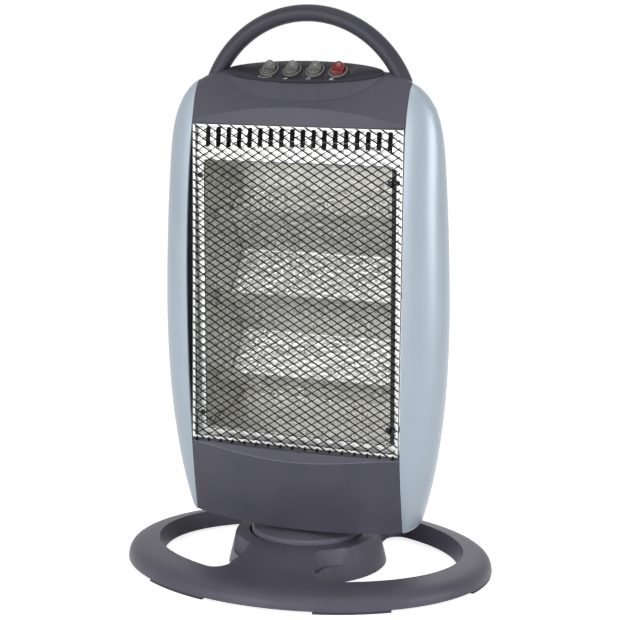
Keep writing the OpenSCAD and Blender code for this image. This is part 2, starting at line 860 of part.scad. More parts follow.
// Sheet-metal upright behind a side shell, for the right side
module side_frame() {
    back_y = 15;
    foot_y = [-22, 13];
    head_y = [-14, 3];
    color(steel)
    difference() {
        union() {
            translate([0, 0, grille_bottom + 5])
                linear_extrude(height = plate_bend - grille_bottom - 6) {
                    translate([frame_x, plate_y + sheet_t])
                        square([frame_t, back_y - plate_y - sheet_t]);
                    translate([frame_x - flange_w, plate_y + sheet_t])
                        square([flange_w, frame_t]);
                    translate([frame_x - flange_w, back_y - frame_t])
                        square([flange_w, frame_t]);
                }
            translate([frame_x, plate_y + plate_lean + 3 * sheet_t, plate_bend - 2])
                cube([frame_t, back_y - plate_y - plate_lean - 3 * sheet_t, grille_top - plate_bend - 4]);
            translate([frame_x, foot_y[0], plate_top])
                cube([frame_t, foot_y[1] - foot_y[0], grille_bottom + 6 - plate_top]);
            translate([frame_x - 16, foot_y[0] + 2, plate_top])
                cube([16, 26, frame_t]);
            translate([frame_x, head_y[0], grille_top - 7])
                cube([frame_t, head_y[1] - head_y[0], flange_level + 7 - grille_top]);
            translate([leg_x - 13, head_y[0] + 4, flange_level - 1.2])
                cube([frame_x + frame_t - leg_x + 13, head_y[1] - head_y[0] - 4, 1.2]);
        }
        lamp_places()
            rotate([0, 90, 0])
                cylinder(r = cap_r + 0.15, h = 2 * front_half);
        plate_screw_places()
            cylinder(r = 1.7, h = 20, center = true);
        handle_screw_places()
            translate([0, 0, -4])
                cylinder(r = 1.8, h = 8);
        for (z = [grille_bottom + 18 : 22 : grille_top - 20])
            translate([frame_x - 1, 4, z])
                cube([3, 8, 12]);
    }
}

module right_frame() {
    side_frame();
}

module left_frame() {
    mirror([1, 0, 0])
        side_frame();
}

// Stations of the lamps on the middle plane
module lamp_places() {
    for (i = [0 : lamp_count - 1])
        translate([0, lamp_y, lamp_level(i)])
            children();
}
function lamp_level(i) = lamp_mid + (i - (lamp_count - 1) / 2) * lamp_pitch;

// Flat front plate with the window of the reflector and the slotted band above it
module front_plate() {
    half = mesh_half + edge_wire - 0.2;
    bend_z = plate_bend;
    top_z = grille_top + 4;
    top_y = plate_y + plate_lean;
    color(bright)
    difference() {
        rotate([90, 0, 90])
            linear_extrude(height = 2 * half, center = true)
                polygon([
                    [plate_y, grille_bottom + 2], [plate_y, bend_z], [top_y, top_z],
                    [top_y + sheet_t, top_z], [plate_y + sheet_t, bend_z],
                    [plate_y + sheet_t, grille_bottom + 2]
                ]);
        translate([-mirror_half, plate_y - 5, window_low])
            cube([2 * mirror_half, 10, window_high - window_low]);
        for (i = [0 : slot_count - 1])
            translate([(i - (slot_count - 1) / 2) * slot_pitch, plate_y - 5, bend_z + 4 + slot_w / 2])
                air_slot(grille_top - bend_z - 8 - slot_w);
        plate_screw_places()
            cylinder(r = 1.7, h = 20, center = true);
    }
}

// One slot with round ends, its ends' middles a length apart
module air_slot(length) {
    translate([-slot_w / 2, 0, 0])
        cube([slot_w, 20, length]);
    for (z = [0, length])
        translate([0, 0, z])
            rotate([-90, 0, 0])
                cylinder(r = slot_w / 2, h = 20, $fn = 32);
}

plate_screw_inset = 17;                 // from the window's corners
module plate_screw_places() {
    for (x = [-1, 1], z = [window_low + plate_screw_inset, window_high - plate_screw_inset])
        translate([x * (mirror_half + front_half - 4) / 2, plate_y, z])
            rotate([90, 0, 0])
                children();
}

module plate_screws() {
    color(steel)
    plate_screw_places()
        rotate([180, 0, 0])
            translate([0, 0, -1])
                screw(2.8, 1, 1.5, 6);
}

// Folded reflector: a valley behind each gap, a ridge behind each lamp
module reflector() {
    valley_y = plate_y + valley_depth;
    ridge_y = valley_y - ridge_h;
    reach = window_high - lamp_level(lamp_count - 1) - 30;
    start_y = plate_y + sheet_t;
    face = concat(
        [[start_y, window_low], [valley_y, lamp_level(0) - reach]],
        [for (i = [0 : lamp_count - 1]) each concat(
            [[ridge_y, lamp_level(i)]],
            i < lamp_count - 1 ? [[valley_y, lamp_level(i) + lamp_pitch / 2]] : []
        )],
        [[valley_y, lamp_level(lamp_count - 1) + reach], [start_y, window_high]]
    );
    back = [for (i = [len(face) - 1 : -1 : 0])
        [face[i].x + (i == 0 || i == len(face) - 1 ? 0 : sheet_t + 0.1),
            face[i].y + (i < 2 ? -sheet_t : i > len(face) - 3 ? sheet_t : 0)]];
    color(bright)
    intersection() {
        rotate([90, 0, 90])
            linear_extrude(height = 2 * mirror_half, center = true)
                polygon(concat(face, back));
        linear_extrude(height = window_high + 5)
            polygon([
                [-end_x(start_y - 1), start_y - 1], [end_x(start_y - 1), start_y - 1],
                [end_x(valley_y + 3), valley_y + 3], [-end_x(valley_y + 3), valley_y + 3]
            ]);
    }
}
// Inner side of the right end plate at a depth
function end_x(y) = mirror_half - slack - (y - plate_y - sheet_t) * tan(end_splay);

module end_plate() {
    reach = valley_depth + 2;
    color(bright)
    difference() {
        translate([mirror_half - 0.1, plate_y + sheet_t, 0])
            rotate([90, 0, 90 + end_splay])
                linear_extrude(height = sheet_t)
                    polygon([
                        [0.1, window_low - 2], [reach, window_low + 26],
                        [reach, window_high - 26], [0.1, window_high + 2]
                    ]);
        lamp_places()
            rotate([0, 90, 0])
                cylinder(r = tube_r + 0.5, h = 2 * front_half);
    }
}

module right_end_plate() {
    end_plate();
}

module left_end_plate() {
    mirror([1, 0, 0])
        end_plate();
}

// Frame for pieces that lie in the guard's leaning plane
module on_guard() {
    lean = atan((guard_head_y - guard_foot_y) / guard_h);
    translate([0, guard_foot_y, grille_bottom])
        rotate([-lean, 0, 0])
            children();
}

// One family of slanted wires, cut off at the guard's edges
module slanted_wires() {
    slope = mesh_h / mesh_w;
    low = mesh_low - grille_bottom;
    high = mesh_high - grille_bottom;
    angle = atan(slope);
    reach = slope * mesh_half;
    for (c = [low - reach + mesh_h / 2 : mesh_h : high + reach]) {
        from = max(0.4 - mesh_half, (low + 0.7 - c) / slope);
        to = min(mesh_half - 0.4, (high - 0.7 - c) / slope);
        if (to - from > mesh_wire)
            translate([from, 0, c + slope * from])
                rotate([0, 90 - angle, 0])
                    cylinder(d = mesh_wire, h = (to - from) / cos(angle), $fn = 6);
    }
}

module guard_mesh() {
    color(steel)
    on_guard() {
        translate([0, mesh_wire / 2, 0])
            slanted_wires();
        translate([0, 1.5 * mesh_wire + 0.02, 0])
            mirror([1, 0, 0])
                slanted_wires();
    }
}

// Edge wire, and the stubs that stand it off the front plate
module guard_frame() {
    low = mesh_low - grille_bottom;
    high = mesh_high - grille_bottom;
    half = mesh_half + edge_wire;
    color(steel) {
        on_guard()
            translate([0, edge_wire, 0])
                rotate([90, 0, 0])
                    linear_extrude(height = edge_wire)
                        difference() {
                            translate([-half, low - edge_wire])
                                square([2 * half, high - low + 2 * edge_wire]);
                            translate([-mesh_half, low])
                                square([2 * mesh_half, high - low]);
                        }
        on_guard()
            for (x = [-1, 1], q = [0.08, 0.5, 0.92])
                let (z = mix(low, high, q))
                    translate([x * (half - edge_wire / 2) - 1, edge_wire / 2, z - 3])
                        cube([
                            2, plate_y - mix(guard_foot_y, guard_head_y, z / guard_h) - edge_wire / 2 - 0.2, 6
                        ]);
    }
}

// ---- Lamps ----

module lamp_tube(i) {
    color("#d9dde0", 0.5)
    translate([-tube_l / 2, lamp_y, lamp_level(i)])
        rotate([0, 90, 0])
            difference() {
                cylinder(r = tube_r, h = tube_l);
                translate([0, 0, -1])
                    cylinder(r = tube_r - tube_wall, h = tube_l + 2);
            }
}

// Filament with the support rings that centre it in its tube
module filament(i) {
    supports = 9;
    length = tube_l - 24;
    color(steel)
    translate([-length / 2, lamp_y, lamp_level(i)])
        rotate([0, 90, 0]) {
            cylinder(r = 0.9, h = length);
            for (k = [0 : supports - 1])
                translate([0, 0, (k + 0.5) * length / supports - 0.4])
                    cylinder(r = tube_r - tube_wall - 0.1, h = 0.8);
        }
}

module end_caps(i) {
    start = mirror_half - 0.2 + sheet_t + 0.2;
    color("#e6e2d8")
    for (side = [0, 1])
        mirror([side, 0, 0])
            translate([start, lamp_y, lamp_level(i)])
                rotate([0, 90, 0])
                    difference() {
                        union() {
                            cylinder(r = cap_r - 2, h = cap_l + 3);
                            translate([0, 0, 2])
                                cylinder(r = cap_r, h = cap_l - 2);
                        }
                        translate([0, 0, -1])
                            cylinder(r = tube_r + 0.1, h = tube_l / 2 - start + 1.1);
                        translate([0, 0, cap_l])
                            cylinder(r = 1.6, h = 10);
                    }
}

// ---- Controls ----

switch_v = -1.8;                          // switches, from the line between the panel's points
switch_body_r = bezel_r - 1.2;
rocker_axis = 0.8;                        // rocker's axis above the panel
rocker_pin_r = 0.65;
ball_gap = 0.35;                          // between a rocker and its body
lens_y = -10;
crescent_y = 23;                          // reach of the console's foot in front of its points
function lens_s(n) = [for (k = [0 : n]) sin(-90 + 180 * k / n)];
function lens_fore(s) = pow(max(0, 1 - s * s), 0.45);
function lens_aft(s) = pow(max(0, 1 - s * s), 0.6);
function panel_point(x, v, w) = [
    x,
    lens_y + v * cos(lens_tilt) - w * sin(lens_tilt),
    lens_level + v * sin(lens_tilt) + w * cos(lens_tilt)
];
function on_top(x, y) = [x, y, top_z(x / front_half, y) + 0.15];

module on_panel() {
    translate([0, lens_y, lens_level])
        rotate([lens_tilt, 0, 0])
            children();
}

// Console under the control panel: a ring of wall that stands on the top cover
module console() {
    n = 20;
    wall = shell_wall;
    low = -lens_t - 0.05;
    fore = lens_s(n);
    aft = [for (k = [n - 1 : -1 : 1]) fore[k]];
    half = lens_half - 1;
    inner = half - 2.4 * wall;
    back = lens_back * cos(lens_tilt);
    sections = concat(
        [for (s = fore) [
            on_top(half * s, lens_y - crescent_y * pow(lens_fore(s), 1.18)),
            panel_point(half * s, -lens_front * lens_fore(s), low),
            panel_point(inner * s, -(lens_front - wall) * lens_fore(s), low),
            on_top(inner * s, lens_y - (crescent_y - wall) * pow(lens_fore(s), 1.18))
        ]],
        [for (s = aft) [
            on_top(half * s, lens_y + back * lens_aft(s)),
            panel_point(half * s, lens_back * lens_aft(s), low),
            panel_point(inner * s, (lens_back - wall) * lens_aft(s), low),
            on_top(inner * s, lens_y + (back - wall) * lens_aft(s))
        ]]
    );
    count = len(sections);
    color(dark)
    polyhedron(
        points = [for (c = sections) each c],
        faces = [
            for (k = [0 : count - 1], i = [0 : 3])
                let (a = 4 * k + i, b = 4 * k + (i + 1) % 4, c = 4 * ((k + 1) % count))
                    each [[a, b, c + (i + 1) % 4], [a, c + (i + 1) % 4, c + i]]
        ]
    );
}

module control_panel() {
    n = 40;
    s = lens_s(n);
    color("#35343b")
    on_panel()
        difference() {
            translate([0, 0, -lens_t])
                linear_extrude(height = lens_t)
                    polygon(concat(
                        [for (k = [0 : n]) [lens_half * s[k], -lens_front * lens_fore(s[k])]],
                        [for (k = [n - 1 : -1 : 1]) [lens_half * s[k], lens_back * lens_aft(s[k])]]
                    ));
            for (i = [0 : 3])
                translate([(i - 1.5) * switch_pitch, switch_v, -lens_t - 1])
                    cylinder(r = switch_body_r + 0.1, h = lens_t + 2);
        }
}

module switch_body(i) {
    color("#626060")
    on_panel()
        translate([(i - 1.5) * switch_pitch, switch_v, 0])
            difference() {
                union() {
                    cylinder(r = bezel_r, h = bezel_h - 0.6);
                    translate([0, 0, bezel_h - 0.6])
                        cylinder(r1 = bezel_r, r2 = bezel_r - 0.6, h = 0.6);
                    translate([0, 0, -13])
                        cylinder(r = switch_body_r, h = 13.5);
                    for (v = [-4, 4])
                        translate([-2.4, v - 0.4, -20])
                            cube([4.8, 0.8, 8]);
                }
                translate([0, 0, rocker_axis]) {
                    sphere(r = rocker_r + ball_gap);
                    rocker_pin(run_fit);
                }
            }
}

// The pin that a rocker turns on, with the clearance of its holes
module rocker_pin(clear) {
    rotate([0, 90, 0])
        cylinder(r = rocker_pin_r + clear, h = 2 * (rocker_r + 2 * ball_gap + clear), center = true);
}

module rocker(i, tint) {
    reach = rocker_r + 1;
    low = 2;                             // the faces' fold above the rocker's axis
    color(tint)
    on_panel()
        translate([(i - 1.5) * switch_pitch, switch_v, rocker_axis])
            rotate([rocker_tilt, 0, 0])
                union() {
                    intersection() {
                        sphere(r = rocker_r);
                        rotate([90, 0, 90])
                            linear_extrude(height = rocker_w, center = true)
                                polygon([
                                    [-reach, -reach], [reach, -reach],
                                    [reach, low + reach * tan(rocker_fold)],
                                    [0, low], [-reach, low + reach * tan(rocker_fold)]
                                ]);
                    }
                    rocker_pin(0);
                }
}

// ---- Handle and fittings ----

module handle_screw_places() {
    for (x = [leg_x - 8, leg_x + 1])
        translate([x, -3, flange_level])
            children();
}

// The grip's round bow, from a start angle above the level on each side
module arch(r, start) {
    translate([0, 0, arch_z])
        rotate([90, 0, 0])
            rotate([0, 0, start])
                rotate_extrude(angle = 180 - 2 * start)
                    translate([arch_r, 0])
                        circle(r = r);
}

module handle() {
    color(dark)
    difference() {
        union() {
            arch(grip_r, arch_start);
            for (side = [0, 1])
                mirror([side, 0, 0]) {
                    translate([leg_x - 3, -3, flange_level])
                        cylinder(r = grip_r / 2, h = 10);
                    translate([leg_x - 12, -9, flange_level])
                        cube([18, 12, 3]);
                }
        }
        for (side = [0, 1])
            mirror([side, 0, 0])
                handle_screw_places()
                    translate([0, 0, -1])
                        cylinder(r = 1.55, h = 6);
    }
}

module handle_screws() {
    color(steel)
    for (side = [0, 1])
        mirror([side, 0, 0])
            handle_screw_places()
                translate([0, 0, -3.2])
                    screw(3, 2, 1.5, 5.5);
}

module rear_screw_places() {
    for (x = [-tab_x, tab_x])
        translate([x, rear_y(x / front_half, plate_z + 11), plate_z + 11])
            rotate([90, 0, 0])
                children();
}

module rear_screws() {
    color(steel)
    rear_screw_places()
        translate([0, 0, -1.9])
            screw(3, 1.6, 1.5, 9);
}

// Cut-out thermostat on the right side frame, between two lamps
module thermal_cutout() {
    color(black)
    translate([frame_x + frame_t, lamp_y, lamp_mid + lamp_pitch / 2])
        rotate([0, 90, 0]) {
            cylinder(r = 8, h = 5);
            translate([-4, -12, 0])
                cube([8, 24, 1]);
        }
}

module terminal_block() {
    color("#e9e6dc")
    difference() {
        translate([52, -12, plate_top])
            cube([38, 14, 11]);
        for (i = [0 : 3])
            translate([57 + 9 * i, -13, plate_top + 6])
                rotate([-90, 0, 0])
                    cylinder(r = 2, h = 16);
    }
}

// The gland's axis, square to the leaning back
module gland_place() {
    lean = atan((rear_at(gland_z + gland_r) - rear_at(gland_z - gland_r)) / (2 * gland_r));
    translate([gland_x, rear_y(gland_x / front_half, gland_z), gland_z])
        rotate([-90 - lean, 0, 0])
            children();
}

module cord_gland() {
    color(black)
    gland_place()
        difference() {
            union() {
                translate([0, 0, 0.9])
                    cylinder(r1 = gland_r + 3, r2 = gland_r + 0.5, h = 5);
                translate([0, 0, -8])
                    cylinder(r = gland_r, h = 9);
            }
            translate([0, 0, -10])
                cylinder(r = 3.4, h = 20);
        }
}

base_ring();
foot_pads();
bottom_plate();
bottom_screws();
bearing_ring();
slot_plate();
tip_switch();
tip_plunger();
swivel_disc();
swivel_shaft();
shaft_nut();
chassis_plate();
chassis_screws();
crank_arm();
swing_motor();
lower_panel();
top_cover();
left_shell();
right_shell();
rear_cover();
rear_louvres();
rear_screws();
left_frame();
right_frame();
guard_mesh();
guard_frame();
reflector();
left_end_plate();
right_end_plate();
front_plate();
plate_screws();
lamp_tube(0);  // lamp_tube_1
lamp_tube(1);  // lamp_tube_2
lamp_tube(2);  // lamp_tube_3
filament(0);  // filament_1
filament(1);  // filament_2
filament(2);  // filament_3
end_caps(0);  // end_caps_1
end_caps(1);  // end_caps_2
end_caps(2);  // end_caps_3
console();
control_panel();
switch_body(0);  // switch_body_1
switch_body(1);  // switch_body_2
switch_body(2);  // switch_body_3
switch_body(3);  // switch_body_4
rocker(0, grey);  // rocker_1
rocker(1, grey);  // rocker_2
rocker(2, grey);  // rocker_3
rocker(3, "#a83030");  // rocker_4
handle();
handle_screws();
thermal_cutout();
terminal_block();
cord_gland();
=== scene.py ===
from math import atan, cos, pi, radians, sin, tan

import bpy
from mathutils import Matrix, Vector


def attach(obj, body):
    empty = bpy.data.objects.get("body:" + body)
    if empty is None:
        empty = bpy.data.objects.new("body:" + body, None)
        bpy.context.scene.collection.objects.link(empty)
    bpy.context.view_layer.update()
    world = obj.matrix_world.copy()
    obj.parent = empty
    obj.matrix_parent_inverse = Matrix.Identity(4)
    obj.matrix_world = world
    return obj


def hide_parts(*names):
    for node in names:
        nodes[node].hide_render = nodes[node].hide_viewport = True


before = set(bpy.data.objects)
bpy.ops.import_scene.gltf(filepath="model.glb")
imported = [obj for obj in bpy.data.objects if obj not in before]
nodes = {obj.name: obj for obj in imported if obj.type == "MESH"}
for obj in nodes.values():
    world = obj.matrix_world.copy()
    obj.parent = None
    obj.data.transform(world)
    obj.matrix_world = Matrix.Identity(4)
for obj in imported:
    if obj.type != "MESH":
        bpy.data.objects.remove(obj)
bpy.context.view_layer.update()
mm = 0.001
print("frame loaded:", len(nodes), "nodes")


# Camera at the photo's viewing angle
camera = {
    "turn": 22.02,          # degrees round to the heater's right
    "rise": 10.5,           # degrees above the level
    "distance": 1.83472,    # to the aim
    "aim": (0, 0, 0.276),
    "lens": 101.23,
    "shift": 0.0034,        # of the picture's width
}


def addCamera():
    turn, rise = radians(camera["turn"]), radians(camera["rise"])
    back = Vector((sin(turn) * cos(rise), -cos(turn) * cos(rise), sin(rise)))
    data = bpy.data.cameras.new("camera")
    data.lens = camera["lens"]
    data.shift_x = camera["shift"]
    eye = bpy.data.objects.new("camera", data)
    eye.location = Vector(camera["aim"]) + back * camera["distance"]
    eye.rotation_euler = back.to_track_quat("Z", "Y").to_euler()
    bpy.context.scene.collection.objects.link(eye)
    bpy.context.scene.camera = eye


# Shader nodes, with their maths written as sums
class Signal:               # a socket that maths can be written with
    def __init__(self, shader, socket):
        self.shader = shader
        self.socket = socket

    def maths(self, operation, *others):
        return self.shader.add("ShaderNodeMath", {"operation": operation}, [self, *others])

    def __add__(self, other):
        return self.maths("ADD", other)

    def __radd__(self, other):
        return self.maths("ADD", other)

    def __mul__(self, other):
        return self.maths("MULTIPLY", other)

    def __rmul__(self, other):
        return self.maths("MULTIPLY", other)

    def __sub__(self, other):
        return self.maths("SUBTRACT", other)

    def __rsub__(self, other):
        return self.maths("SUBTRACT", other).maths("MULTIPLY", -1)


class Shader:
    def __init__(self, name):
        self.material = bpy.data.materials.new(name)
        self.material.use_nodes = True
        self.tree = self.material.node_tree
        self.tree.nodes.clear()
        self.where = self.add("ShaderNodeTexCoord", output="Object")

    def add(self, kind, settings=None, inputs=(), output=0):
        node = self.tree.nodes.new(kind)
        for key, value in (settings or {}).items():
            if key == "stops":
                self.setStops(node.color_ramp, value)
            else:
                setattr(node, key, value)
        pairs = inputs.items() if isinstance(inputs, dict) else enumerate(inputs)
        for key, value in pairs:
            if isinstance(value, Signal):
                self.tree.links.new(value.socket, node.inputs[key])
            else:
                node.inputs[key].default_value = value
        return Signal(self, node.outputs[output])

    def setStops(self, ramp, stops):
        while len(ramp.elements) < len(stops):
            ramp.elements.new(1)
        for element, (place, value) in zip(ramp.elements, stops):
            element.position = place
            element.color = (value, value, value, 1)

    def noise(self, size, detail=2):
        return self.add("ShaderNodeTexNoise", {},
                        {"Vector": self.where, "Scale": 1 / size, "Detail": detail})

    def cells(self, size, output="Distance"):
        return self.add("ShaderNodeTexVoronoi", {"feature": "F1"},
                        {"Vector": self.where, "Scale": 1 / size}, output)

    def ramp(self, value, *stops):
        return self.add("ShaderNodeValToRGB", {"stops": stops}, {"Fac": value})

    def blend(self, share, first, second):
        return self.add("ShaderNodeMix", {"data_type": "RGBA"}, {0: share, 6: first, 7: second}, 2)

    def bump(self, height, depth):
        return self.add("ShaderNodeBump", {}, {"Height": height, "Distance": depth}, "Normal")

    def clouded(self, value, low, high, tone, darker, lighter):     # a tone that wanders a little
        share = self.ramp(value, (low, 0), (high, 1))
        return self.blend(share, shade(tone, darker), shade(tone, lighter))

    def finish(self, inputs):
        return self.close(self.add("ShaderNodeBsdfPrincipled", {}, inputs, "BSDF"))

    def close(self, surface):
        end = self.tree.nodes.new("ShaderNodeOutputMaterial")
        self.tree.links.new(surface.socket, end.inputs["Surface"])
        return self.material


def colour(red, green, blue):       # from 0..255 as on screen
    def line(v):
        v /= 255
        return v / 12.92 if v <= 0.04045 else ((v + 0.055) / 1.055) ** 2.4
    return (line(red), line(green), line(blue), 1)


def shade(tone, factor):
    return (*(min(1, c * factor) for c in tone[:3]), 1)


# Materials, all on Object coordinates
def texturedPlastic(name, tone, rough=0.42, grain=0.0006, depth=0.00004, spread=0.1):
    m = Shader(name)
    cloud = m.noise(0.05, 3)
    speck = m.noise(grain * 1.6, 2)
    tint = m.clouded(cloud, 0.35, 0.65, tone, 1 - spread, 1 + spread)
    tint = m.blend(m.ramp(speck, (0.42, 0), (0.62, 1)) * 0.22, tint, shade(tone, 1.5))
    return m.finish({
        "Base Color": tint,
        "Roughness": rough + (cloud - 0.5) * 0.12 + (speck - 0.5) * 0.1,
        "Normal": m.bump(m.noise(grain, 3), depth),
        "Specular IOR Level": 0.3,
    })


def metallicPaint(name, tone):
    m = Shader(name)
    flake = m.cells(0.0005, output="Color")
    cloud = m.noise(0.08, 2)
    tint = m.clouded(cloud, 0.3, 0.7, tone, 0.97, 1.03)
    tint = m.blend(m.ramp(flake, (0.2, 0), (0.9, 1)) * 0.16, tint, shade(tone, 1.25))
    return m.finish({
        "Base Color": tint,
        "Metallic": 0.25,
        "Roughness": 0.36 + (cloud - 0.5) * 0.06,
        "Normal": m.bump(m.noise(0.0009, 2), 0.00002),
        "Coat Weight": 0.25,
        "Coat Roughness": 0.18,
    })


def smoothPlastic(name, tone, rough=0.3, spread=0.06, wear=0.02):
    m = Shader(name)
    scuff = m.noise(0.0035, 5)
    return m.finish({
        "Base Color": m.clouded(m.noise(0.03, 3), 0.35, 0.65, tone, 1 - spread, 1 + spread),
        "Roughness": rough + m.ramp(scuff, (0.45, 0), (0.7, 1)) * 0.12,
        "Normal": m.bump(m.noise(0.002, 3), wear * mm),
    })


def rubber(name, tone):
    m = Shader(name)
    dust = m.noise(0.012, 4)
    return m.finish({
        "Base Color": m.blend(m.ramp(dust, (0.4, 0), (0.75, 1)) * 0.4, tone, shade(tone, 2.2)),
        "Roughness": 0.75 + (dust - 0.5) * 0.2,
        "Normal": m.bump(m.noise(0.0008, 2), 0.00006),
    })


def zincSheet(name, tone, rough=0.38):
    m = Shader(name)
    spangle = m.cells(0.007, output="Color")
    brush = m.noise(0.0012, 3)
    return m.finish({
        "Base Color": m.clouded(spangle, 0.15, 0.85, tone, 0.82, 1.1),
        "Metallic": 0.9,
        "Roughness": rough + m.ramp(spangle, (0.1, 0), (0.9, 1)) * 0.14 + (brush - 0.5) * 0.08,
        "Normal": m.bump(brush, 0.00002),
    })


def platedWire(name, tone, rough):
    m = Shader(name)
    mottle = m.noise(0.004, 4)
    return m.finish({
        "Base Color": m.clouded(mottle, 0.35, 0.7, tone, 0.75, 1.25),
        "Metallic": 0.85,
        "Roughness": rough + (mottle - 0.5) * 0.2,
        "Normal": m.bump(m.noise(0.0008, 2), 0.00003),
    })


def coatedWire(name, tone):
    m = Shader(name)
    mottle = m.noise(0.004, 3)
    return m.finish({
        "Base Color": m.clouded(mottle, 0.35, 0.7, tone, 0.7, 1.4),
        "Roughness": 0.4 + (mottle - 0.5) * 0.2,
        "Specular IOR Level": 0.2,
        "Normal": m.bump(m.noise(0.0008, 2), 0.00003),
    })


def stuccoSheet(name, tone, depth, rough, metal, darkReflectionShare):    # the last argument: share of the dark specks, a painted reflection of the dark surroundings in the relief
    m = Shader(name)
    warp = m.noise(0.004, 2)
    relief = m.cells(0.0034) * 0.6 + warp * 0.8
    patch = m.noise(0.02, 2)
    tint = m.clouded(patch, 0.3, 0.7, tone, 0.9, 1.05)
    # dark specks painted into the colour: painted reflection of the dark surroundings in the
    # embossed relief
    darkReflectionSpot = m.ramp(m.noise(0.0026, 1), (0.5, 0), (0.6, 1)) * m.ramp(patch, (0.35, 0.35), (0.6, 1))
    return m.finish({
        "Base Color": m.blend(darkReflectionSpot * darkReflectionShare, tint, shade(tone, 0.16)),
        "Metallic": metal,
        "Roughness": rough + (warp - 0.5) * 0.14,
        "Normal": m.bump(relief, depth),
    })


def quartzGlass(name):
    m = Shader(name)
    haze = m.noise(0.01, 3)
    return m.finish({
        "Base Color": m.blend(haze, colour(216, 216, 204), colour(240, 240, 232)),
        "Roughness": 0.16 + (haze - 0.4) * 0.2,
        "Alpha": 0.34 + (haze - 0.5) * 0.2,
        "IOR": 1.46,
        "Coat Weight": 0.6,
        "Coat Roughness": 0.05,
    })


def ceramic(name):
    m = Shader(name)
    speck = m.noise(0.0007, 2)
    soot = m.noise(0.006, 3)
    stain = m.ramp(soot, (0.5, 0), (0.8, 1)) * 0.5
    tint = m.blend(stain, colour(222, 217, 204), colour(170, 160, 146))
    return m.finish({
        "Base Color": tint,
        "Roughness": 0.6 + (speck - 0.5) * 0.2,
        "Normal": m.bump(speck, 0.00003),
    })


finishes = {
    "dark": texturedPlastic("darkPlastic", colour(75, 74, 86)),
    # a darker copy of the dark plastic: painted shade on the handle
    "grip": texturedPlastic("gripPlastic", colour(56, 55, 65)),
    # a lighter copy of the dark plastic: painted light on the base ring
    "base": texturedPlastic("paintedLightBasePlastic", colour(82, 80, 92)),
    # a lighter copy of the dark plastic: painted highlight for the rib along the lower panel's
    # fold
    "paintedHighlightBead": texturedPlastic("paintedHighlightBeadPlastic", colour(122, 121, 132)),
    # a lighter copy of the dark plastic: painted light on the swivel disc
    "disc": texturedPlastic("discPlastic", colour(98, 97, 109)),
    "panel": texturedPlastic("panelPlastic", colour(44, 43, 51), 0.36, 0.0005, 0.00003),
    "silver": metallicPaint("silverPaint", colour(164, 176, 187)),
    "black": texturedPlastic("blackPlastic", colour(26, 26, 28), 0.5),
    "rubber": rubber("footRubber", colour(52, 50, 58)),
    # black for the trim, and painted shade for the strips in the gaps round the window
    "gloss": smoothPlastic("blackTrimAndShade", colour(14, 14, 16), 0.35),
    "mark": smoothPlastic("printedMark", colour(214, 214, 216), 0.5),
    "white": smoothPlastic("whitePlastic", colour(214, 212, 204), 0.34),
    "bezel": smoothPlastic("bezelPlastic", colour(104, 102, 100), 0.3),
    "rocker": smoothPlastic("rockerPlastic", colour(92, 93, 90), 0.3),
    "red": smoothPlastic("redRockerPlastic", colour(112, 8, 14), 0.24),
    "zinc": zincSheet("zincSheet", colour(168, 170, 172)),
    "screw": zincSheet("screwSteel", colour(150, 150, 148), 0.3),
    "plateScrew": zincSheet("plateScrewSteel", colour(74, 76, 82), 0.3),
    "wire": coatedWire("guardWire", colour(9, 9, 10)),
    "frameWire": zincSheet("frameWire", colour(206, 206, 204), 0.3),
    "stucco": stuccoSheet("stuccoAluminium", colour(240, 240, 235), 0.0004, 0.3, 0.9, 0.7),
    "plate": stuccoSheet("plateAluminium", colour(244, 244, 242), 0.0002, 0.3, 0.85, 0.1),
    "quartz": quartzGlass("quartzGlass"),
    "filament": platedWire("filamentWire", colour(96, 92, 88), 0.4),
    "ceramic": ceramic("capCeramic"),
    "motor": zincSheet("motorCase", colour(150, 146, 128), 0.32),
}

finishOfNode = {
    "dark": ["lower_panel", "top_cover", "console", "rear_cover", "rear_louvres"],
    "grip": ["handle"],
    "base": ["base_ring"],
    "disc": ["swivel_disc"],
    "panel": ["control_panel"],
    "silver": ["left_shell", "right_shell"],
    "black": ["tip_switch", "cord_gland", "thermal_cutout"],
    "rubber": ["foot_pads"],
    "white": ["bearing_ring", "slot_plate", "tip_plunger", "crank_arm", "terminal_block"],
    "bezel": ["switch_body_1", "switch_body_2", "switch_body_3", "switch_body_4"],
    "rocker": ["rocker_1", "rocker_2", "rocker_3"],
    "red": ["rocker_4"],
    "zinc": [
        "bottom_plate", "chassis_plate", "left_frame", "right_frame", "swivel_shaft", "shaft_nut"],
    "screw": ["bottom_screws", "chassis_screws", "rear_screws", "handle_screws"],
    "plateScrew": ["plate_screws"],
    "wire": ["guard_mesh"],
    "frameWire": ["guard_frame"],
    "stucco": ["reflector", "left_end_plate", "right_end_plate"],
    "plate": ["front_plate"],
    "quartz": ["lamp_tube_1", "lamp_tube_2", "lamp_tube_3"],
    "filament": ["filament_1", "filament_2", "filament_3"],
    "ceramic": ["end_caps_1", "end_caps_2", "end_caps_3"],
    "motor": ["swing_motor"],
}


def dressNodes():
    for finish, names in finishOfNode.items():
        for name in names:
            for place in nodes[name].material_slots:
                place.material = finishes[finish]
    dressed = {n for names in finishOfNode.values() for n in names}
    print("dressed nodes:", len(dressed), "left:", sorted(set(nodes) - dressed))


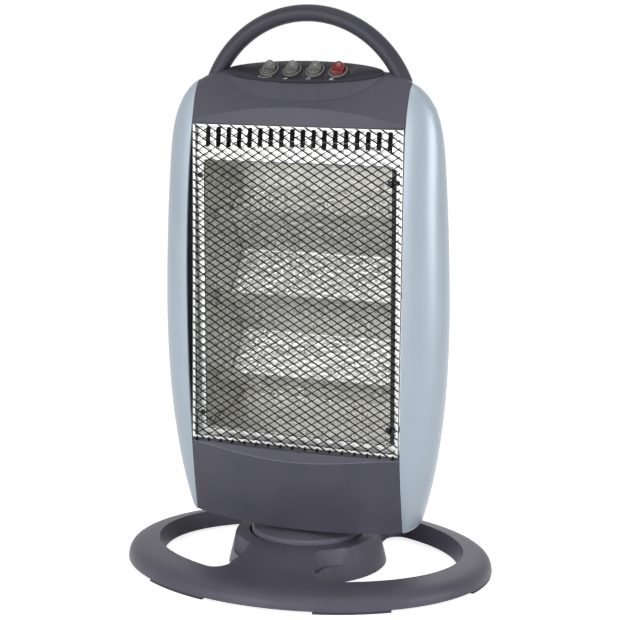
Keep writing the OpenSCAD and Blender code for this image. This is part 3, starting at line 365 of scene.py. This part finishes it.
# Tools that the pieces share
slotOfFinish = {        # the record's material slot for each finish of a new piece
    "silver": "silver_plastic", "dark": "dark_plastic", "base": "dark_plastic",
    "paintedHighlightBead": "dark_plastic", "panel": "panel_plastic", "gloss": "black_plastic",
    "rocker": "switch_grey", "bezel": "switch_grey", "red": "switch_red",
    "stucco": "bright_sheet", "plate": "bright_sheet", "wire": "wire", "mark": "white_plastic",
}
joining = {"weld": 0.02, "flat": 30, "square": 60, "corner": 32, "soft": 40}    # mm and degrees
tiny = 1e-6         # metres, for places that should be the same


def deselect():
    if bpy.context.mode != "OBJECT":
        bpy.ops.object.mode_set(mode="OBJECT")
    bpy.ops.object.select_all(action="DESELECT")


def choose(piece):
    deselect()
    piece.select_set(True)
    bpy.context.view_layer.objects.active = piece


def give(piece, finish, body):
    piece.data.materials.clear()
    piece.data.materials.append(finishes[finish])
    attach(piece, body)
    finish in slotOfFinish


def applyAll(piece):
    choose(piece)
    for modifier in list(piece.modifiers):
        bpy.ops.object.modifier_apply(modifier=modifier.name)


def seat(piece, lean, place):       # turned about X, moved to its place in mm and left unturned
    piece.rotation_euler = (radians(lean), 0, 0)
    piece.location = [c * mm for c in place]
    settle(piece)


def settle(piece):
    choose(piece)
    bpy.ops.object.transform_apply(location=True, rotation=True, scale=True)


def join(pieces, name):
    choose(pieces[0])
    for piece in pieces:
        piece.select_set(True)
    bpy.ops.object.join()
    pieces[0].name = name
    return pieces[0]


def copyOf(piece, name):
    twin = bpy.data.objects.new(name, piece.data.copy())
    bpy.context.scene.collection.objects.link(twin)
    return twin


def bevelled(piece, width, segments=3, angle=30):
    bevel = piece.modifiers.new("edge", "BEVEL")
    bevel.width = width * mm
    bevel.segments = segments
    bevel.limit_method = "ANGLE"
    bevel.angle_limit = radians(angle)


def smooth(piece, angle=40):
    choose(piece)
    bpy.ops.object.shade_smooth_by_angle(angle=radians(angle))


def mergedCopy(name, node):     # a copy of a CAD piece in edit mode, its loose triangles merged
    piece = copyOf(nodes[node], name)
    choose(piece)
    bpy.ops.object.mode_set(mode="EDIT")
    bpy.ops.mesh.select_all(action="SELECT")
    bpy.ops.mesh.remove_doubles(threshold=joining["weld"] * mm)
    return piece


# Mouldings: copies of the CAD pieces, with their facets made round
mouldings = {       # edge: its rounding in mm, levels: of subdivision
    "rightShell": {"node": "right_shell", "finish": "silver", "edge": 0.5, "levels": 2},
    "leftShell": {"node": "left_shell", "finish": "silver", "edge": 0.5, "levels": 2},
    "topCover": {"node": "top_cover", "finish": "dark", "edge": 0.5, "levels": 2},
    "lowerPanel": {"node": "lower_panel", "finish": "dark", "edge": 0.5, "levels": 2},
    "rearCover": {"node": "rear_cover", "finish": "dark", "edge": 0.5, "levels": 1},
    "switchConsole": {"node": "console", "finish": "dark", "edge": 0.3, "levels": 1},
    "ringBase": {"node": "base_ring", "finish": "base", "edge": 0.6, "levels": 1},
    "panelLens": {"node": "control_panel", "finish": "panel", "edge": 0.5, "levels": 0},
}
for bezelNumber in (1, 2, 3, 4):
    mouldings["bezel%d" % bezelNumber] = {
        "node": "switch_body_%d" % bezelNumber, "finish": "bezel", "edge": 0.55, "levels": 0}
bodyOf = {"ringBase": "base"}       # the other mouldings ride on the heater's body
folds = {       # height of the fold across the front, from -1 to 1 over the width
    "topCover": lambda s: 474.6 + 15.9 * (1 - s * s),
    "lowerPanel": lambda s: 133.5 - 9.1 * max(0, 1 - s * s) ** 1.74,
}
foldLine = {
    "half": 116.8, "reach": 0.25, "front": -30, "shortest": 0.2,    # to find its edges by
    "paintedHighlightBead": 0.38, "knots": 40, "before": -200,      # the rib's radius, knots and where rays start
}
pit = {"ends": ((133.4, 499.8), (140.4, 486.5)), "sides": (-14.5, -3.5), "reach": 0.12}


def chooseFold(piece, height):      # leaves edit mode on, with the edges of the fold selected
    choose(piece)
    bpy.ops.object.mode_set(mode="EDIT")
    bpy.ops.mesh.select_mode(type="EDGE")
    bpy.ops.mesh.select_all(action="DESELECT")
    bpy.ops.object.mode_set(mode="OBJECT")

    def onFold(vertex):
        x, y, z = (c / mm for c in vertex.co)
        return y < foldLine["front"] and abs(z - height(x / foldLine["half"])) < foldLine["reach"]

    for edge in piece.data.edges:
        a, b = (piece.data.vertices[v] for v in edge.vertices)
        edge.select = onFold(a) and onFold(b) and abs(a.co.x - b.co.x) > foldLine["shortest"] * mm
    bpy.ops.object.mode_set(mode="EDIT")


def addHighlightBead(piece, height):     # a fine rib along the fold, laid on the moulding's own face and painted lighter: a painted highlight on the crease
    points = []
    knots = foldLine["knots"]
    for step in range(-knots, knots + 1):
        across = sin(step * pi / (2 * knots + 1))
        start = Vector((across * foldLine["half"], foldLine["before"], height(across))) * mm
        hit, place, _, _ = piece.ray_cast(start, Vector((0, 1, 0)))
        if hit:
            points.append(place)
    bpy.ops.curve.primitive_bezier_curve_add()
    line = bpy.context.object
    line.data.splines.clear()
    spline = line.data.splines.new("POLY")
    spline.points.add(len(points) - 1)
    for knot, place in zip(spline.points, points):
        knot.co = (*place, 1)
    line.data.bevel_depth = foldLine["paintedHighlightBead"] * mm
    line.data.bevel_resolution = 2
    line.data.use_fill_caps = True
    bpy.ops.object.convert(target="MESH")
    line = bpy.context.object
    bpy.ops.object.shade_smooth()
    line.name = "foldHighlightBead"
    give(line, "paintedHighlightBead", "heater_body")


def fillPit(piece):     # closes a shallow cut in the shell's outside, and leaves edit mode on
    corners = [(x, y, z) for x, z in pit["ends"] for y in pit["sides"]]
    for part in (*piece.data.polygons, *piece.data.edges):
        part.select = False
    for vertex in piece.data.vertices:
        x, y, z = (c / mm for c in vertex.co)
        vertex.select = any(
            max(abs(x - a), abs(y - b), abs(z - c)) < pit["reach"] for a, b, c in corners)
    bpy.ops.object.mode_set(mode="EDIT")
    bpy.ops.mesh.select_mode(type="VERT")
    bpy.ops.mesh.delete(type="VERT")
    bpy.ops.mesh.select_mode(type="EDGE")
    bpy.ops.mesh.select_non_manifold(extend=False, use_wire=True, use_multi_face=False,
                                     use_non_contiguous=False, use_verts=False)
    bpy.ops.mesh.fill(use_beauty=True)
    bpy.ops.mesh.select_all(action="SELECT")
    bpy.ops.mesh.normals_make_consistent(inside=True)   # outwards, on this thin bowl


def smoothMoulding(name, look):
    piece = mergedCopy(name, look["node"])
    if name == "rightShell":
        bpy.ops.object.mode_set(mode="OBJECT")
        fillPit(piece)
    bpy.ops.mesh.tris_convert_to_quads(
        face_threshold=radians(joining["flat"]), shape_threshold=radians(joining["square"]))
    bpy.ops.object.mode_set(mode="OBJECT")
    if name in folds:
        chooseFold(piece, folds[name])
        bpy.ops.transform.edge_crease(value=1)
        bpy.ops.object.mode_set(mode="OBJECT")
    bevelled(piece, look["edge"], segments=2, angle=joining["corner"])
    if look["levels"]:
        rounder = piece.modifiers.new("round", "SUBSURF")
        rounder.levels = rounder.render_levels = look["levels"]
    applyAll(piece)
    smooth(piece, joining["soft"])
    if name in folds:
        chooseFold(piece, folds[name])
        bpy.ops.mesh.mark_sharp()
        bpy.ops.object.mode_set(mode="OBJECT")
    if name == "lowerPanel":
        addHighlightBead(piece, folds[name])
    give(piece, look["finish"], bodyOf.get(name, "heater_body"))
    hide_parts(look["node"])


# Front plate, its air slots a little wider than in the CAD
slots = {"pitch": 11.8, "count": 18, "band": (444.5, 474.5), "reach": 2.4, "wider": 1.32}


def addPlate():
    piece = mergedCopy("frontPlate", "front_plate")
    bpy.ops.object.mode_set(mode="OBJECT")
    low, high = slots["band"]
    middle = (slots["count"] - 1) / 2
    for vertex in piece.data.vertices:
        x, z = vertex.co.x / mm, vertex.co.z / mm
        index = round(x / slots["pitch"] + middle)
        centre = (index - middle) * slots["pitch"]
        if 0 <= index < slots["count"] and low < z < high and abs(x - centre) < slots["reach"]:
            vertex.co.x = (centre + (x - centre) * slots["wider"]) * mm
    give(piece, "plate", "heater_body")
    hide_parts("front_plate")


# Rocker switches on the leaning panel
switch = {
    "count": 4, "pitch": 25.3, "row": -1.8,
    "panel": (-10, 527), "lean": 34,        # y and z of the panel's long axis, its lean
    "axis": 0.8, "slope": 24, "tilt": 12,   # height of the pin, slope of a half, tilt at rest
    "core": {"ball": 8, "halfWidth": 6.7, "fold": 1.9, "under": 0, "edge": 0.2},
    "lobes": {"ball": 10.2, "halfWidth": 7.2, "fold": 2.3, "under": 25, "edge": 0.8},
    "segments": 44, "rings": 22, "facing": 0.99,
    "weld": 0.01, "sliver": 0.002, "onPlane": 0.02,     # for closing the mesh
    "markAt": 5.0, "ring": 1.6, "ringWire": 0.17, "bar": (0.3, 1.8), "barEdge": 0.1,
}


def onPanel(x, along, above):
    lean = radians(switch["lean"])
    return (x, switch["panel"][0] + along * cos(lean) - above * sin(lean),
            switch["panel"][1] + along * sin(lean) + above * cos(lean))


def switchX(index):
    return (index - (switch["count"] - 1) / 2) * switch["pitch"]


def cutAt(point, normal):       # takes away what lies before the plane
    bpy.ops.mesh.select_all(action="SELECT")
    bpy.ops.mesh.bisect(
        plane_co=[c * mm for c in point], plane_no=normal, use_fill=True, clear_outer=True)


def modelHalfBall(look):        # one rounded half with its sloping top, and its mirrored twin
    bpy.ops.mesh.primitive_uv_sphere_add(
        segments=switch["segments"], ring_count=switch["rings"], radius=look["ball"] * mm)
    ball = bpy.context.object
    ball.scale = (look["halfWidth"] / look["ball"], 1, 1)
    settle(ball)
    slope, under = radians(switch["slope"]), radians(look["under"])
    bpy.ops.object.mode_set(mode="EDIT")
    cutAt((0, 0, 0), (0, -1, 0))
    cutAt((0, 0, look["fold"]), (0, -sin(slope), cos(slope)))
    if under:
        cutAt((0, 0, 0), (0, sin(under), -cos(under)))
    bpy.ops.mesh.select_all(action="DESELECT")
    bpy.ops.object.mode_set(mode="OBJECT")
    for face in ball.data.polygons:
        face.select = face.normal.y < -switch["facing"] and abs(face.center.y) < tiny
    bpy.ops.object.mode_set(mode="EDIT")
    bpy.ops.mesh.delete(type="FACE")
    bpy.ops.mesh.select_all(action="SELECT")
    bpy.ops.mesh.remove_doubles(threshold=switch["weld"] * mm)
    bpy.ops.object.mode_set(mode="OBJECT")
    for vertex in ball.data.vertices:
        if abs(vertex.co.y) < switch["onPlane"] * mm:
            vertex.co.y = 0
    twin = ball.modifiers.new("twin", "MIRROR")
    twin.use_axis = (False, True, False)
    twin.merge_threshold = tiny
    bevelled(ball, look["edge"], angle=25)
    applyAll(ball)
    bpy.ops.object.mode_set(mode="EDIT")
    bpy.ops.mesh.select_all(action="SELECT")
    bpy.ops.mesh.remove_doubles(threshold=switch["weld"] * mm)
    bpy.ops.mesh.dissolve_degenerate(threshold=switch["sliver"] * mm)
    bpy.ops.mesh.normals_make_consistent(inside=False)
    bpy.ops.object.mode_set(mode="OBJECT")
    smooth(ball, angle=35)
    return ball


def modelRocker():
    return join([modelHalfBall(switch["core"]), modelHalfBall(switch["lobes"])], "rocker")


def modelRockerMarks():
    slope = radians(switch["slope"])
    reach = switch["markAt"]
    height = switch["lobes"]["fold"] + reach * tan(slope)
    bpy.ops.mesh.primitive_torus_add(
        major_segments=32, minor_segments=8, major_radius=switch["ring"] * mm,
        minor_radius=switch["ringWire"] * mm,
        location=(0, reach * mm, height * mm), rotation=(slope, 0, 0))
    ring = bpy.context.object
    settle(ring)
    bpy.ops.mesh.primitive_cube_add(
        size=mm, location=(0, -reach * mm, height * mm), rotation=(-slope, 0, 0))
    bar = bpy.context.object
    bar.scale = (*switch["bar"], 2 * switch["ringWire"])
    settle(bar)
    bevelled(bar, switch["barEdge"], segments=2)
    applyAll(bar)
    smooth(ring)
    return join([ring, bar], "rockerMarks")


def addSwitches():
    rocker, marks = modelRocker(), modelRockerMarks()
    for index in range(switch["count"]):
        name = "rocker_%d" % (index + 1)
        pin = onPanel(switchX(index), switch["row"], switch["axis"])
        rockerFinish = "red" if index == 3 else "rocker"
        for pattern, label, finish in ((rocker, "rocker", rockerFinish), (marks, "marks", "mark")):
            piece = copyOf(pattern, "%s%d" % (label, index + 1))
            seat(piece, switch["lean"] + switch["tilt"], pin)
            give(piece, finish, name)
            if label == "rocker":
                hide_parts(name)
    bpy.data.objects.remove(rocker)
    bpy.data.objects.remove(marks)


# Printed symbols on the panel
symbols = {     # along: up the panel from the switches' row, shift: across it
    "height": 0.06, "lift": 0.02,
    "arc": {"radius": 12.3, "width": 0.42, "halfAngle": 33, "arrow": 1.05, "shift": -1.5},
    "front": {"along": -14.4, "shift": -3.4, "long": 4.3, "thick": 0.42, "tall": 2.2,
              "bold": 2.2, "slant": -24,
              "tick": (0.36, 0.3, 0.4, 0.7, 40)},   # place and size as shares, and its turn
    "rear": {"along": 10.6, "shift": 4.2, "long": 4.2, "thick": 0.7, "counts": (1, 2, 1),
             "gaps": (0, 0.5, 2)},
}


def flatBar(x, y, long, wide, turn=0):
    bpy.ops.mesh.primitive_plane_add(
        size=mm, location=(x * mm, y * mm, 0), rotation=(0, 0, radians(turn)))
    bar = bpy.context.object
    bar.scale = (long, wide, 1)
    settle(bar)
    return bar


def modelSwingArc():
    look = symbols["arc"]
    bpy.ops.mesh.primitive_circle_add(vertices=96, radius=look["radius"] * mm, fill_type="NOTHING")
    arc = bpy.context.object
    bpy.ops.object.mode_set(mode="EDIT")
    bpy.ops.mesh.select_all(action="SELECT")
    bpy.ops.mesh.extrude_region_move()
    shrink = 1 - look["width"] / look["radius"]
    bpy.ops.transform.resize(value=(shrink, shrink, 1), center_override=(0, 0, 0))
    bpy.ops.mesh.select_all(action="DESELECT")
    bpy.ops.object.mode_set(mode="OBJECT")
    edge = -cos(radians(look["halfAngle"])) * look["radius"] * mm
    for face in arc.data.polygons:
        face.select = face.center.y > edge
    bpy.ops.object.mode_set(mode="EDIT")
    bpy.ops.mesh.delete(type="FACE")
    bpy.ops.object.mode_set(mode="OBJECT")
    heads = []
    for side in (-1, 1):
        angle = radians(look["halfAngle"]) * side
        middle = look["radius"] - look["width"] / 2
        bpy.ops.mesh.primitive_circle_add(
            vertices=3, radius=look["arrow"] * mm, fill_type="NGON",
            location=(middle * sin(angle) * mm, -middle * cos(angle) * mm, 0),
            rotation=(0, 0, angle - side * pi / 2))
        heads.append(bpy.context.object)
        settle(heads[-1])
    return join([arc, *heads], "swingSymbol")


def modelHeatSymbol(kind):      # two level bars and one between them; kind 1 has a slanted tick
    look = symbols["front"]
    y, long, thick, tall = look["along"] - switch["row"], look["long"], look["thick"], look["tall"]
    bold = thick * look["bold"]
    bars = [flatBar(0, y - tall / 2, long, thick if kind == 2 else bold)]
    if kind == 1:
        across, up, share, thin, turn = look["tick"]
        bars.append(flatBar(long * across, y + tall * up, long * share, thick * thin, turn))
    else:
        bars.append(flatBar(0, y + tall / 2, long, bold))
    if kind == 2:
        bars.append(flatBar((thick - long) / 2, y, thick, tall))
    else:
        bars.append(flatBar(0, y, thick, tall, look["slant"]))
    return join(bars, "heatSymbol")


def addSymbols():
    made = []

    def lay(piece, index, shift):       # on the panel, beside the switch
        place = onPanel(switchX(index) + shift, switch["row"], symbols["lift"])
        seat(piece, switch["lean"], place)
        made.append(piece)

    rear = symbols["rear"]
    for index in range(switch["count"]):
        if index == 0:
            lay(modelSwingArc(), index, symbols["arc"]["shift"])
        else:
            lay(modelHeatSymbol(index), index, symbols["front"]["shift"])
        if index < len(rear["counts"]):
            count = rear["counts"][index]
            pitch = rear["long"] / count
            for k in range(count):
                lay(flatBar((k - (count - 1) / 2) * pitch, rear["along"] - switch["row"],
                            pitch - rear["gaps"][index], rear["thick"]), index, rear["shift"])
    piece = join(made, "panelSymbols")
    thick = piece.modifiers.new("thick", "SOLIDIFY")
    thick.thickness = symbols["height"] * mm
    thick.offset = 1
    applyAll(piece)
    bpy.ops.object.mode_set(mode="EDIT")
    bpy.ops.mesh.select_all(action="SELECT")
    bpy.ops.mesh.normals_make_consistent(inside=False)
    bpy.ops.object.mode_set(mode="OBJECT")
    give(piece, "mark", "heater_body")


# Embossed face of the folded reflector
trough = {
    "front": -29.6, "valley": 35.6, "ridge": 13.6,      # depths of its folds
    "low": 146, "high": 434,
    "lampLevel": 287, "lampPitch": 88, "lastValley": 29, "half": 103.4, "splay": 12,
    "lift": 1.1, "relief": 1.2, "grain": 2.4, "turbulence": 6, "skin": 0.4,
    "across": 126, "along": 38,     # faces across the reflector and along each slope
}


def troughProfile():        # (y, z) of each fold, a little in front of the CAD reflector
    t = trough
    rows = [(t["front"], t["low"]),
            (t["valley"], t["lampLevel"] - t["lampPitch"] - t["lastValley"])]
    for k in (-1, 0, 1):
        level = t["lampLevel"] + k * t["lampPitch"]
        rows.append((t["ridge"], level))
        rows.append((t["valley"], level + (t["lampPitch"] / 2 if k < 1 else t["lastValley"])))
    rows.append((t["front"], t["high"]))
    last = len(rows) - 1
    raised = []
    for i, (y, z) in enumerate(rows):
        inward = t["lift"] if i < 2 else -t["lift"] if i > last - 2 else 0
        raised.append((y if i in (0, last) else y - t["lift"], z + inward))
    return raised


def addReflectorFace():
    rows = troughProfile()
    first, second = rows[:2]
    bpy.ops.mesh.primitive_grid_add(x_subdivisions=trough["across"], y_subdivisions=1, size=2 * mm)
    face = bpy.context.object
    face.name = "reflectorFace"
    bpy.ops.object.mode_set(mode="OBJECT")
    for vertex in face.data.vertices:
        y, z = first if vertex.co.y < 0 else second
        vertex.co = (vertex.co.x * trough["half"], y * mm, z * mm)
        vertex.select = (y, z) == second
    for edge in face.data.edges:
        edge.select = all(face.data.vertices[v].select for v in edge.vertices)
    for polygon in face.data.polygons:
        polygon.select = False
    bpy.ops.object.mode_set(mode="EDIT")
    bpy.ops.mesh.select_mode(type="EDGE")
    for (y0, z0), (y1, z1) in zip(rows[1:], rows[2:]):
        step = (0, (y1 - y0) * mm, (z1 - z0) * mm)
        bpy.ops.mesh.extrude_edges_move(TRANSFORM_OT_translate={"value": step})
    bpy.ops.mesh.select_all(action="DESELECT")
    bpy.ops.object.mode_set(mode="OBJECT")
    for edge in face.data.edges:
        a, b = (face.data.vertices[v].co for v in edge.vertices)
        edge.select = abs(a.x - b.x) < tiny
    bpy.ops.object.mode_set(mode="EDIT")
    bpy.ops.mesh.subdivide(number_cuts=trough["along"] - 1)
    bpy.ops.mesh.select_mode(type="VERT")
    bpy.ops.object.mode_set(mode="OBJECT")
    narrowing = tan(radians(trough["splay"])) / trough["half"]
    for vertex in face.data.vertices:
        vertex.co.x *= 1 - (vertex.co.y / mm - trough["front"]) * narrowing
    grain = bpy.data.textures.new("stucco", "STUCCI")
    grain.stucci_type = "PLASTIC"
    grain.noise_scale = trough["grain"] * mm
    grain.turbulence = trough["turbulence"]
    relief = face.modifiers.new("relief", "DISPLACE")
    relief.texture = grain
    relief.texture_coords = "LOCAL"
    relief.strength = trough["relief"] * mm
    relief.mid_level = 0.5
    skin = face.modifiers.new("skin", "SOLIDIFY")
    skin.thickness = trough["skin"] * mm
    skin.offset = 0
    applyAll(face)
    bpy.ops.object.shade_smooth()
    give(face, "stucco", "heater_body")


# Guard mesh: two layers of slanted wires
mesh = {
    "foot": (-42, 136), "lean": -1.534, "half": 115.0, "low": 2.0, "high": 334.4,
    "diamond": (13.8, 8.35), "start": -60.2, "sides": 8, "over": 2.4,   # over: length to cut from
    "rising": {"side": 1, "depth": 0.5, "radius": 0.52},
    "falling": {"side": -1, "depth": -0.3, "radius": 0.76},
}


def modelWires(look):
    wide, tall = mesh["diamond"]
    slope = tall / wide
    length = mesh["over"] * mesh["half"] * (1 + slope ** 2) ** 0.5
    bpy.ops.mesh.primitive_cylinder_add(
        vertices=mesh["sides"], radius=look["radius"] * mm, depth=length * mm,
        location=(0, look["depth"] * mm, 0), rotation=(0, pi / 2 - look["side"] * atan(slope), 0))
    pattern = bpy.context.object
    settle(pattern)
    bpy.ops.object.shade_smooth()
    level = mesh["start"]
    wires = []
    while level < mesh["high"] + slope * mesh["half"]:
        wire = copyOf(pattern, "wire")
        wire.location = (0, 0, level * mm)
        settle(wire)
        wires.append(wire)
        level += tall
    bpy.data.objects.remove(pattern)
    return join(wires, "wires")


def addMesh():
    piece = join([modelWires(mesh["rising"]), modelWires(mesh["falling"])], "guardMesh")
    choose(piece)
    bpy.ops.object.mode_set(mode="EDIT")
    for side in (1, -1):
        cutAt((side * mesh["half"], 0, 0), (side, 0, 0))
    cutAt((0, 0, mesh["high"]), (0, 0, 1))
    cutAt((0, 0, mesh["low"]), (0, 0, -1))
    bpy.ops.object.mode_set(mode="OBJECT")
    seat(piece, mesh["lean"], (0, *mesh["foot"]))
    give(piece, "wire", "heater_body")
    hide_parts("guard_mesh")


# Small dark parts round the window and the guard; the strips at the window's sides and under the
# cover's lip are painted shade in the gaps there
trimAndShade = {
    # black strip at the window's right side: painted shade in the gap there
    "rail": {"x": (103.3, 107.8), "y": (-31.3, -30.3), "z": (149, 431)},
    # thin black strip at the window's left edge: painted shade along it
    "edge": {"x": (-104.9, -104.0), "y": (-31.0, -30.3), "z": (149, 431)},
    # black strip under the cover's lip: painted shadow in the gap above the guard
    "shadowGapBrow": {"x": (-115, 115), "y": (-34.6, -33.4), "z": (470.7, 472)},
    "sill": {"x": (-115, 115), "y": (-43.3, -42.2), "z": (136.5, 137.9)},
    "stripEdge": 0.25,
    "stud": {"x": 102.4, "y": -32.6, "levels": (163, 417), "radius": 2.9, "long": 5, "edge": 0.5},
    "wrap": {"pitch": 13.8, "radius": 1.7, "wire": 0.85, "foot": (-42.9, 136.6), "count": 17},
}


def darkStrip(look, name):
    bpy.ops.mesh.primitive_cube_add(size=mm, location=[sum(look[a]) / 2 * mm for a in "xyz"])
    strip = bpy.context.object
    strip.scale = [look[a][1] - look[a][0] for a in "xyz"]
    settle(strip)
    bevelled(strip, trimAndShade["stripEdge"], segments=2)
    applyAll(strip)
    strip.name = name
    return strip


def addTrimAndShade():
    pieces = [darkStrip(trimAndShade[name], name) for name in ("rail", "edge", "shadowGapBrow", "sill")]
    stud = trimAndShade["stud"]
    for level in stud["levels"]:
        bpy.ops.mesh.primitive_cylinder_add(
            vertices=24, radius=stud["radius"] * mm, depth=stud["long"] * mm,
            location=(stud["x"] * mm, stud["y"] * mm, level * mm), rotation=(0, pi / 2, 0))
        pieces.append(bpy.context.object)
        bevelled(pieces[-1], stud["edge"])
        applyAll(pieces[-1])
        settle(pieces[-1])
        smooth(pieces[-1])
    give(join(pieces, "windowTrimAndShade"), "gloss", "heater_body")


def addWraps():
    look = trimAndShade["wrap"]
    bpy.ops.mesh.primitive_torus_add(
        major_segments=14, minor_segments=6, major_radius=look["radius"] * mm,
        minor_radius=look["wire"] * mm, rotation=(0, pi / 2, 0))
    pattern = bpy.context.object
    settle(pattern)
    smooth(pattern)
    wraps = []
    y, z = look["foot"]
    for k in range(look["count"]):
        wrap = copyOf(pattern, "wrap%d" % k)
        wrap.location = Vector(((k - (look["count"] - 1) / 2) * look["pitch"], y, z)) * mm
        settle(wrap)
        wraps.append(wrap)
    bpy.data.objects.remove(pattern)
    give(join(wraps, "guardWraps"), "wire", "heater_body")


# Floor, lamps and white surroundings
studio = {      # mirrored, scattered: whether glossy and plain surfaces see the lamp
    "aim": (0, 0, 0.28),
    "lamps": {
        "key": {"at": (-0.9, -2.75, 0.5), "size": 2.0, "power": 60, "mirrored": False},
        "gleam": {"at": (-0.9, -2.7, 0.98), "size": 2.2, "power": 29, "scattered": False},
        "fill": {"at": (2.7, -0.4, 0.9), "size": 1.8, "power": 34},
        "top": {"at": (0.1, -0.6, 2.5), "size": 1.4, "power": 5},
        "back": {"at": (-0.6, 2.4, 1.5), "size": 1.6, "power": 7},
    },
    "world": 0.28, "worldTint": (0.96, 0.98, 1, 1),
    "mirrored": 0.92,       # the surroundings as glossy surfaces see them
    "floorSize": 14, "floorTones": ((0.78, 0.78, 0.78, 1), (0.8, 0.8, 0.8, 1)), "floorCloud": 0.6,
    "floorGlow": 0.8,       # added to the floor where the camera or a reflection sees it
}
white, black = (1, 1, 1, 1), (0, 0, 0, 1)


def addLight(name, look):
    data = bpy.data.lights.new(name, "AREA")
    data.shape = "DISK"
    data.size = look["size"]
    data.energy = look["power"]
    lamp = bpy.data.objects.new(name, data)
    lamp.location = look["at"]
    lamp.visible_glossy = look.get("mirrored", True)
    lamp.visible_diffuse = look.get("scattered", True)
    back = Vector(look["at"]) - Vector(studio["aim"])
    lamp.rotation_euler = back.to_track_quat("Z", "Y").to_euler()
    bpy.context.scene.collection.objects.link(lamp)


def whiteRays(m):       # 1 for the rays that see the white surroundings
    path = m.tree.nodes.new("ShaderNodeLightPath")
    kinds = ["Is Camera Ray", "Is Glossy Ray", "Is Transmission Ray"]
    first, second, third = (Signal(m, path.outputs[k]) for k in kinds)
    return first.maths("MAXIMUM", second).maths("MAXIMUM", third)


def addWorld():
    world = bpy.data.worlds.new("studio")
    bpy.context.scene.world = world
    world.use_nodes = True
    tree = world.node_tree
    tree.nodes.clear()

    def backdrop(strength, tint):
        ground = tree.nodes.new("ShaderNodeBackground")
        ground.inputs["Strength"].default_value = strength
        ground.inputs["Color"].default_value = tint
        return ground.outputs[0]

    def swap(kind, usual, special):
        path, mixer = tree.nodes.new("ShaderNodeLightPath"), tree.nodes.new("ShaderNodeMixShader")
        tree.links.new(path.outputs[kind], mixer.inputs[0])
        tree.links.new(usual, mixer.inputs[1])
        tree.links.new(special, mixer.inputs[2])
        return mixer.outputs[0]

    light = swap("Is Glossy Ray", backdrop(studio["world"], studio["worldTint"]),
                 backdrop(studio["mirrored"], white))
    end = tree.nodes.new("ShaderNodeOutputWorld")
    tree.links.new(swap("Is Camera Ray", light, backdrop(1, white)), end.inputs[0])


def addFloor():
    bpy.ops.mesh.primitive_plane_add(size=studio["floorSize"], location=(0, 0, 0))
    floor = bpy.context.object
    floor.name = "floor"
    m = Shader("floorPaint")
    tone = m.blend(m.noise(studio["floorCloud"], 2), *studio["floorTones"])
    paint = m.add("ShaderNodeBsdfDiffuse", {}, {"Color": tone})
    glow = m.add("ShaderNodeEmission", {}, {"Color": white, "Strength": studio["floorGlow"]})
    dark = m.add("ShaderNodeEmission", {}, {"Color": black, "Strength": 0})
    seen = m.add("ShaderNodeMixShader", {}, {0: whiteRays(m), 1: dark, 2: glow})
    floor.data.materials.append(m.close(m.add("ShaderNodeAddShader", {}, {0: paint, 1: seen})))


addCamera()
addWorld()
addFloor()
for lampName, lampLook in studio["lamps"].items():
    addLight(lampName, lampLook)
print("camera, floor and lights in place")
dressNodes()
for mouldingName, mouldingLook in mouldings.items():
    smoothMoulding(mouldingName, mouldingLook)
    print("moulding:", mouldingName)
for stage in (addPlate, addSwitches, addSymbols, addReflectorFace, addMesh, addTrimAndShade, addWraps):
    stage()
    print("done:", stage.__name__)

bpy.context.scene.view_settings.view_transform = "Standard"
deselect()
